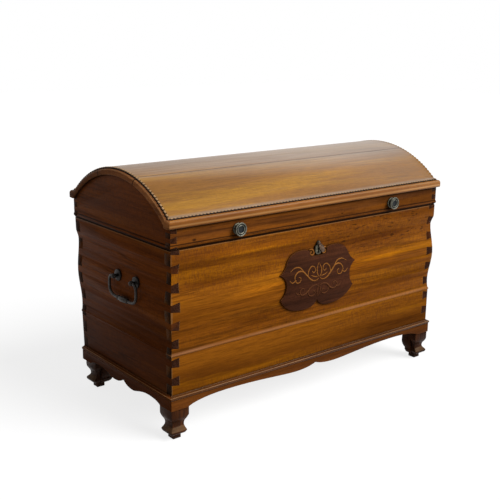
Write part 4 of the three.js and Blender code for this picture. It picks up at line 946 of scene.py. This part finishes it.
def as_bmesh(curve):
    """A curve's solid form. The curve itself is removed."""
    shape = bpy.data.objects.new(curve.name, curve)
    bpy.context.scene.collection.objects.link(shape)
    solid = bpy.data.meshes.new_from_object(shape.evaluated_get(bpy.context.evaluated_depsgraph_get()))
    bpy.data.objects.remove(shape)
    bpy.data.curves.remove(curve)
    made = bmesh.new()
    made.from_mesh(solid)
    bpy.data.meshes.remove(solid)
    bmesh.ops.remove_doubles(made, verts=made.verts, dist=SAME_PLACE)
    return made


def carved(name, strokes, material, under, sink):
    """Raised scrolls on the face of a node, alike on both sides of the middle."""
    curve = bpy.data.curves.new(name, "CURVE")
    curve.dimensions = "3D"
    curve.bevel_depth = MILLIMETRE
    curve.bevel_resolution = 3
    curve.use_fill_caps = True
    for points in strokes:
        line = smooth_line(points)
        for way in (1, -1):
            draw_stroke(curve, line, way, under, sink)
    mesh_piece(name, as_bmesh(curve), material, "carcass")


def add_shield_carving():
    bright = wood("scroll_gilt_wood", "X", GILT, 90.0, ends=False)
    dark = wood("scroll_dark_wood", "X", DULL, 94.0, ends=False)
    carved("shield_scroll_upper", UPPER_STROKES, bright, "shield", sink=0.35)
    carved("shield_scroll_lower", LOWER_STROKES, dark, "shield", sink=0.1)
    carved("keyhole_volutes", VOLUTES, bright, "front_board", sink=-0.9)


# A screw's head: its sides and rings, and its lift, its fall towards the rim and its slot as shares.
HEAD_SIDES = 20
HEAD_RINGS = 5
HEAD_LIFT = 0.42
HEAD_FALL = 0.85
HEAD_SUNK = 0.0004
SLOT_HALF = 0.16
SLOT_DEEP = 0.3
SLOT_WALLS = (-1.02, -0.98, 0.98, 1.02)

# Screws, as (across, height): on the straps from each strap's middle, elsewhere from the trunk's.
STRAP_MIDDLE = 0.34
STRAP_SCREW = 0.0034
HINGE_STRAP_SCREWS = [(-0.010, 0.566), (0.010, 0.566), (0.0, 0.530), (0.0, 0.500), (0.0, 0.478)]
LID_STRAP_SCREWS = [(-0.010, 0.594), (0.010, 0.594), (0.0, 0.614), (0.0, 0.632)]
LOCK_SCREW = 0.003
STAPLE_SCREWS = [(0.014, 0.612), (0.014, 0.594)]
LOCK_SCREWS = [(0.055, 0.486), (0.055, 0.570)]
SLOT_TURN = 0.7


def head_angles(near):
    """Angles round a screw's head, two close together at each wall of its slot."""
    angles, arc, steps = [], math.pi - 2 * near, HEAD_SIDES // 2
    for half in (0.0, math.pi):
        angles += [half + near * wall for wall in SLOT_WALLS]
        angles += [half + near + arc * k / steps for k in range(1, steps)]
    return sorted(a % (2 * math.pi) for a in angles)


def screw_head(made, place, outward, radius, slot_turn):
    """A domed, slotted head lying on a surface, added to a bmesh."""
    to_place = Matrix.Translation(place) @ outward.to_track_quat("Z", "X").to_matrix().to_4x4()
    turn = Matrix.Rotation(slot_turn, 4, "Z")
    slot_half = radius * SLOT_HALF

    def point(r, angle):
        x, y = r * math.cos(angle), r * math.sin(angle)
        height = radius * HEAD_LIFT * math.sqrt(max(0.0, 1 - HEAD_FALL * (r / radius) ** 2))
        if abs(y) < slot_half:
            height -= radius * SLOT_DEEP
        return to_place @ turn @ Vector((x, y, height))

    def foot_point(angle):
        return to_place @ turn @ Vector((radius * math.cos(angle), radius * math.sin(angle), -HEAD_SUNK))

    angles = head_angles(math.asin(slot_half / radius))
    centre = made.verts.new(point(0.0, 0.0))
    skins = [[made.verts.new(point(radius * k / HEAD_RINGS, a)) for a in angles]
             for k in range(1, HEAD_RINGS + 1)]
    skins.append([made.verts.new(foot_point(a)) for a in angles])
    for i in range(len(angles)):
        j = (i + 1) % len(angles)
        made.faces.new((centre, skins[0][i], skins[0][j]))
        for first, second in zip(skins, skins[1:]):
            made.faces.new((first[i], second[i], second[j], first[j]))
    made.faces.new(list(reversed(skins[-1])))


def screw_spots(carcass, lid):
    """Every screw: the bmesh it goes into, its node, the start of the line that finds it, and its radius."""
    spots = []
    for side, way in SIDES:
        middle = way * STRAP_MIDDLE
        spots += [(carcass, f"hinge_strap_{side}", (middle + x, BEHIND, z), STRAP_SCREW)
                  for x, z in HINGE_STRAP_SCREWS]
        spots += [(lid, f"lid_strap_{side}", (middle + x, BEHIND, z), STRAP_SCREW)
                  for x, z in LID_STRAP_SCREWS]
        spots += [(lid, "lock_staple", (way * x, INSIDE, z), LOCK_SCREW) for x, z in STAPLE_SCREWS]
        spots += [(carcass, "lock_case", (way * x, INSIDE, z), LOCK_SCREW) for x, z in LOCK_SCREWS]
    return spots


def add_screws():
    """Slotted screws through the straps, the lock and its staple."""
    iron = metal("screw_iron", SCREW_IRON, roughness=0.45, wear=0.5)
    carcass, lid = bmesh.new(), bmesh.new()
    for index, (made, name, start, radius) in enumerate(screw_spots(carcass, lid)):
        hit, normal = surface(name, start, TO_FRONT)
        screw_head(made, hit, normal, radius, SLOT_TURN * index)
    mesh_piece("carcass_screws", carcass, iron, "carcass")
    mesh_piece("lid_screws", lid, iron, "lid")


def add_camera():
    """The photograph's camera."""
    yaw, pitch, roll = (math.radians(a) for a in (CAMERA_YAW, CAMERA_PITCH, CAMERA_ROLL))
    ahead = Vector((math.sin(yaw) * math.cos(pitch), math.cos(yaw) * math.cos(pitch), math.sin(pitch)))
    level = Vector((math.cos(yaw), -math.sin(yaw), 0))
    upright = level.cross(ahead)
    right = math.cos(roll) * level + math.sin(roll) * upright
    up = math.cos(roll) * upright - math.sin(roll) * level
    data = bpy.data.cameras.new("camera")
    data.sensor_width = SENSOR
    data.lens = SENSOR * FOCAL_PIXELS / FRAME_PIXELS
    camera = bpy.data.objects.new("camera", data)
    bpy.context.scene.collection.objects.link(camera)
    turned = Matrix((right, up, -ahead)).transposed().to_4x4()
    camera.matrix_world = Matrix.Translation(CAMERA_PLACE) @ turned
    bpy.context.scene.camera = camera


# A white studio: one broad light, a world that looks white, and a floor that keeps the trunk's shadow.
SUN_FROM = Vector((0.4, -0.68, 0.61))
SUN_STRENGTH = 3.0
SUN_SPREAD_DEGREES = 40
WORLD_STRENGTH = 0.2
FLOOR_HALF = 12
FLOOR_DROP = 0.0005
FLOOR_ROUGHNESS = 0.9
FLOOR_LIFT = 0.79


def seen_directly(tree):
    """1 for rays from the camera, from gloss and through glass."""
    path = tree.nodes.new("ShaderNodeLightPath")
    total = path.outputs["Is Camera Ray"]
    for name in ("Is Glossy Ray", "Is Transmission Ray"):
        adding = tree.nodes.new("ShaderNodeMath")
        adding.operation = "MAXIMUM"
        tree.links.new(total, adding.inputs[0])
        tree.links.new(path.outputs[name], adding.inputs[1])
        total = adding.outputs[0]
    return total


def add_world():
    world = bpy.data.worlds.new("studio")
    bpy.context.scene.world = world
    world.use_nodes = True
    tree = world.node_tree
    plain = tree.nodes["Background"]
    plain.inputs["Strength"].default_value = WORLD_STRENGTH
    white = tree.nodes.new("ShaderNodeBackground")
    choice = tree.nodes.new("ShaderNodeMixShader")
    tree.links.new(seen_directly(tree), choice.inputs[0])
    for index, colour in enumerate((plain, white), start=1):
        colour.inputs["Color"].default_value = WHITE
        tree.links.new(colour.outputs[0], choice.inputs[index])
    tree.links.new(choice.outputs[0], tree.nodes["World Output"].inputs["Surface"])


def floor_finish():
    """Matt grey, lifted to white where it is seen directly, so that only its shadow shows."""
    finish = Finish("floor_white")
    finish.finish(FLOOR_GREY, FLOOR_ROUGHNESS, specular=0.0)
    lift = finish.product(seen_directly(finish.tree), FLOOR_LIFT)
    finish.shader.inputs["Emission Color"].default_value = WHITE
    finish.put(finish.shader.inputs["Emission Strength"], lift)
    return finish.material


def add_floor():
    made = bmesh.new()
    bmesh.ops.create_grid(made, x_segments=1, y_segments=1, size=FLOOR_HALF)
    data = bpy.data.meshes.new("floor")
    made.to_mesh(data)
    made.free()
    data.materials.append(floor_finish())
    floor = bpy.data.objects.new("floor", data)
    floor.location.z = -FLOOR_DROP
    bpy.context.scene.collection.objects.link(floor)


def add_sun():
    data = bpy.data.lights.new("sun", "SUN")
    data.energy = SUN_STRENGTH
    data.angle = math.radians(SUN_SPREAD_DEGREES)
    lamp = bpy.data.objects.new("sun", data)
    lamp.rotation_euler = SUN_FROM.to_track_quat("Z", "Y").to_euler()
    bpy.context.scene.collection.objects.link(lamp)


add_camera()
add_world()
add_floor()
add_sun()
bpy.context.scene.view_settings.view_transform = "Standard"
paint_carcass()
paint_base()
paint_lid()
paint_fittings()
soften_nodes()
add_pearls()
add_shield_carving()
add_screws()
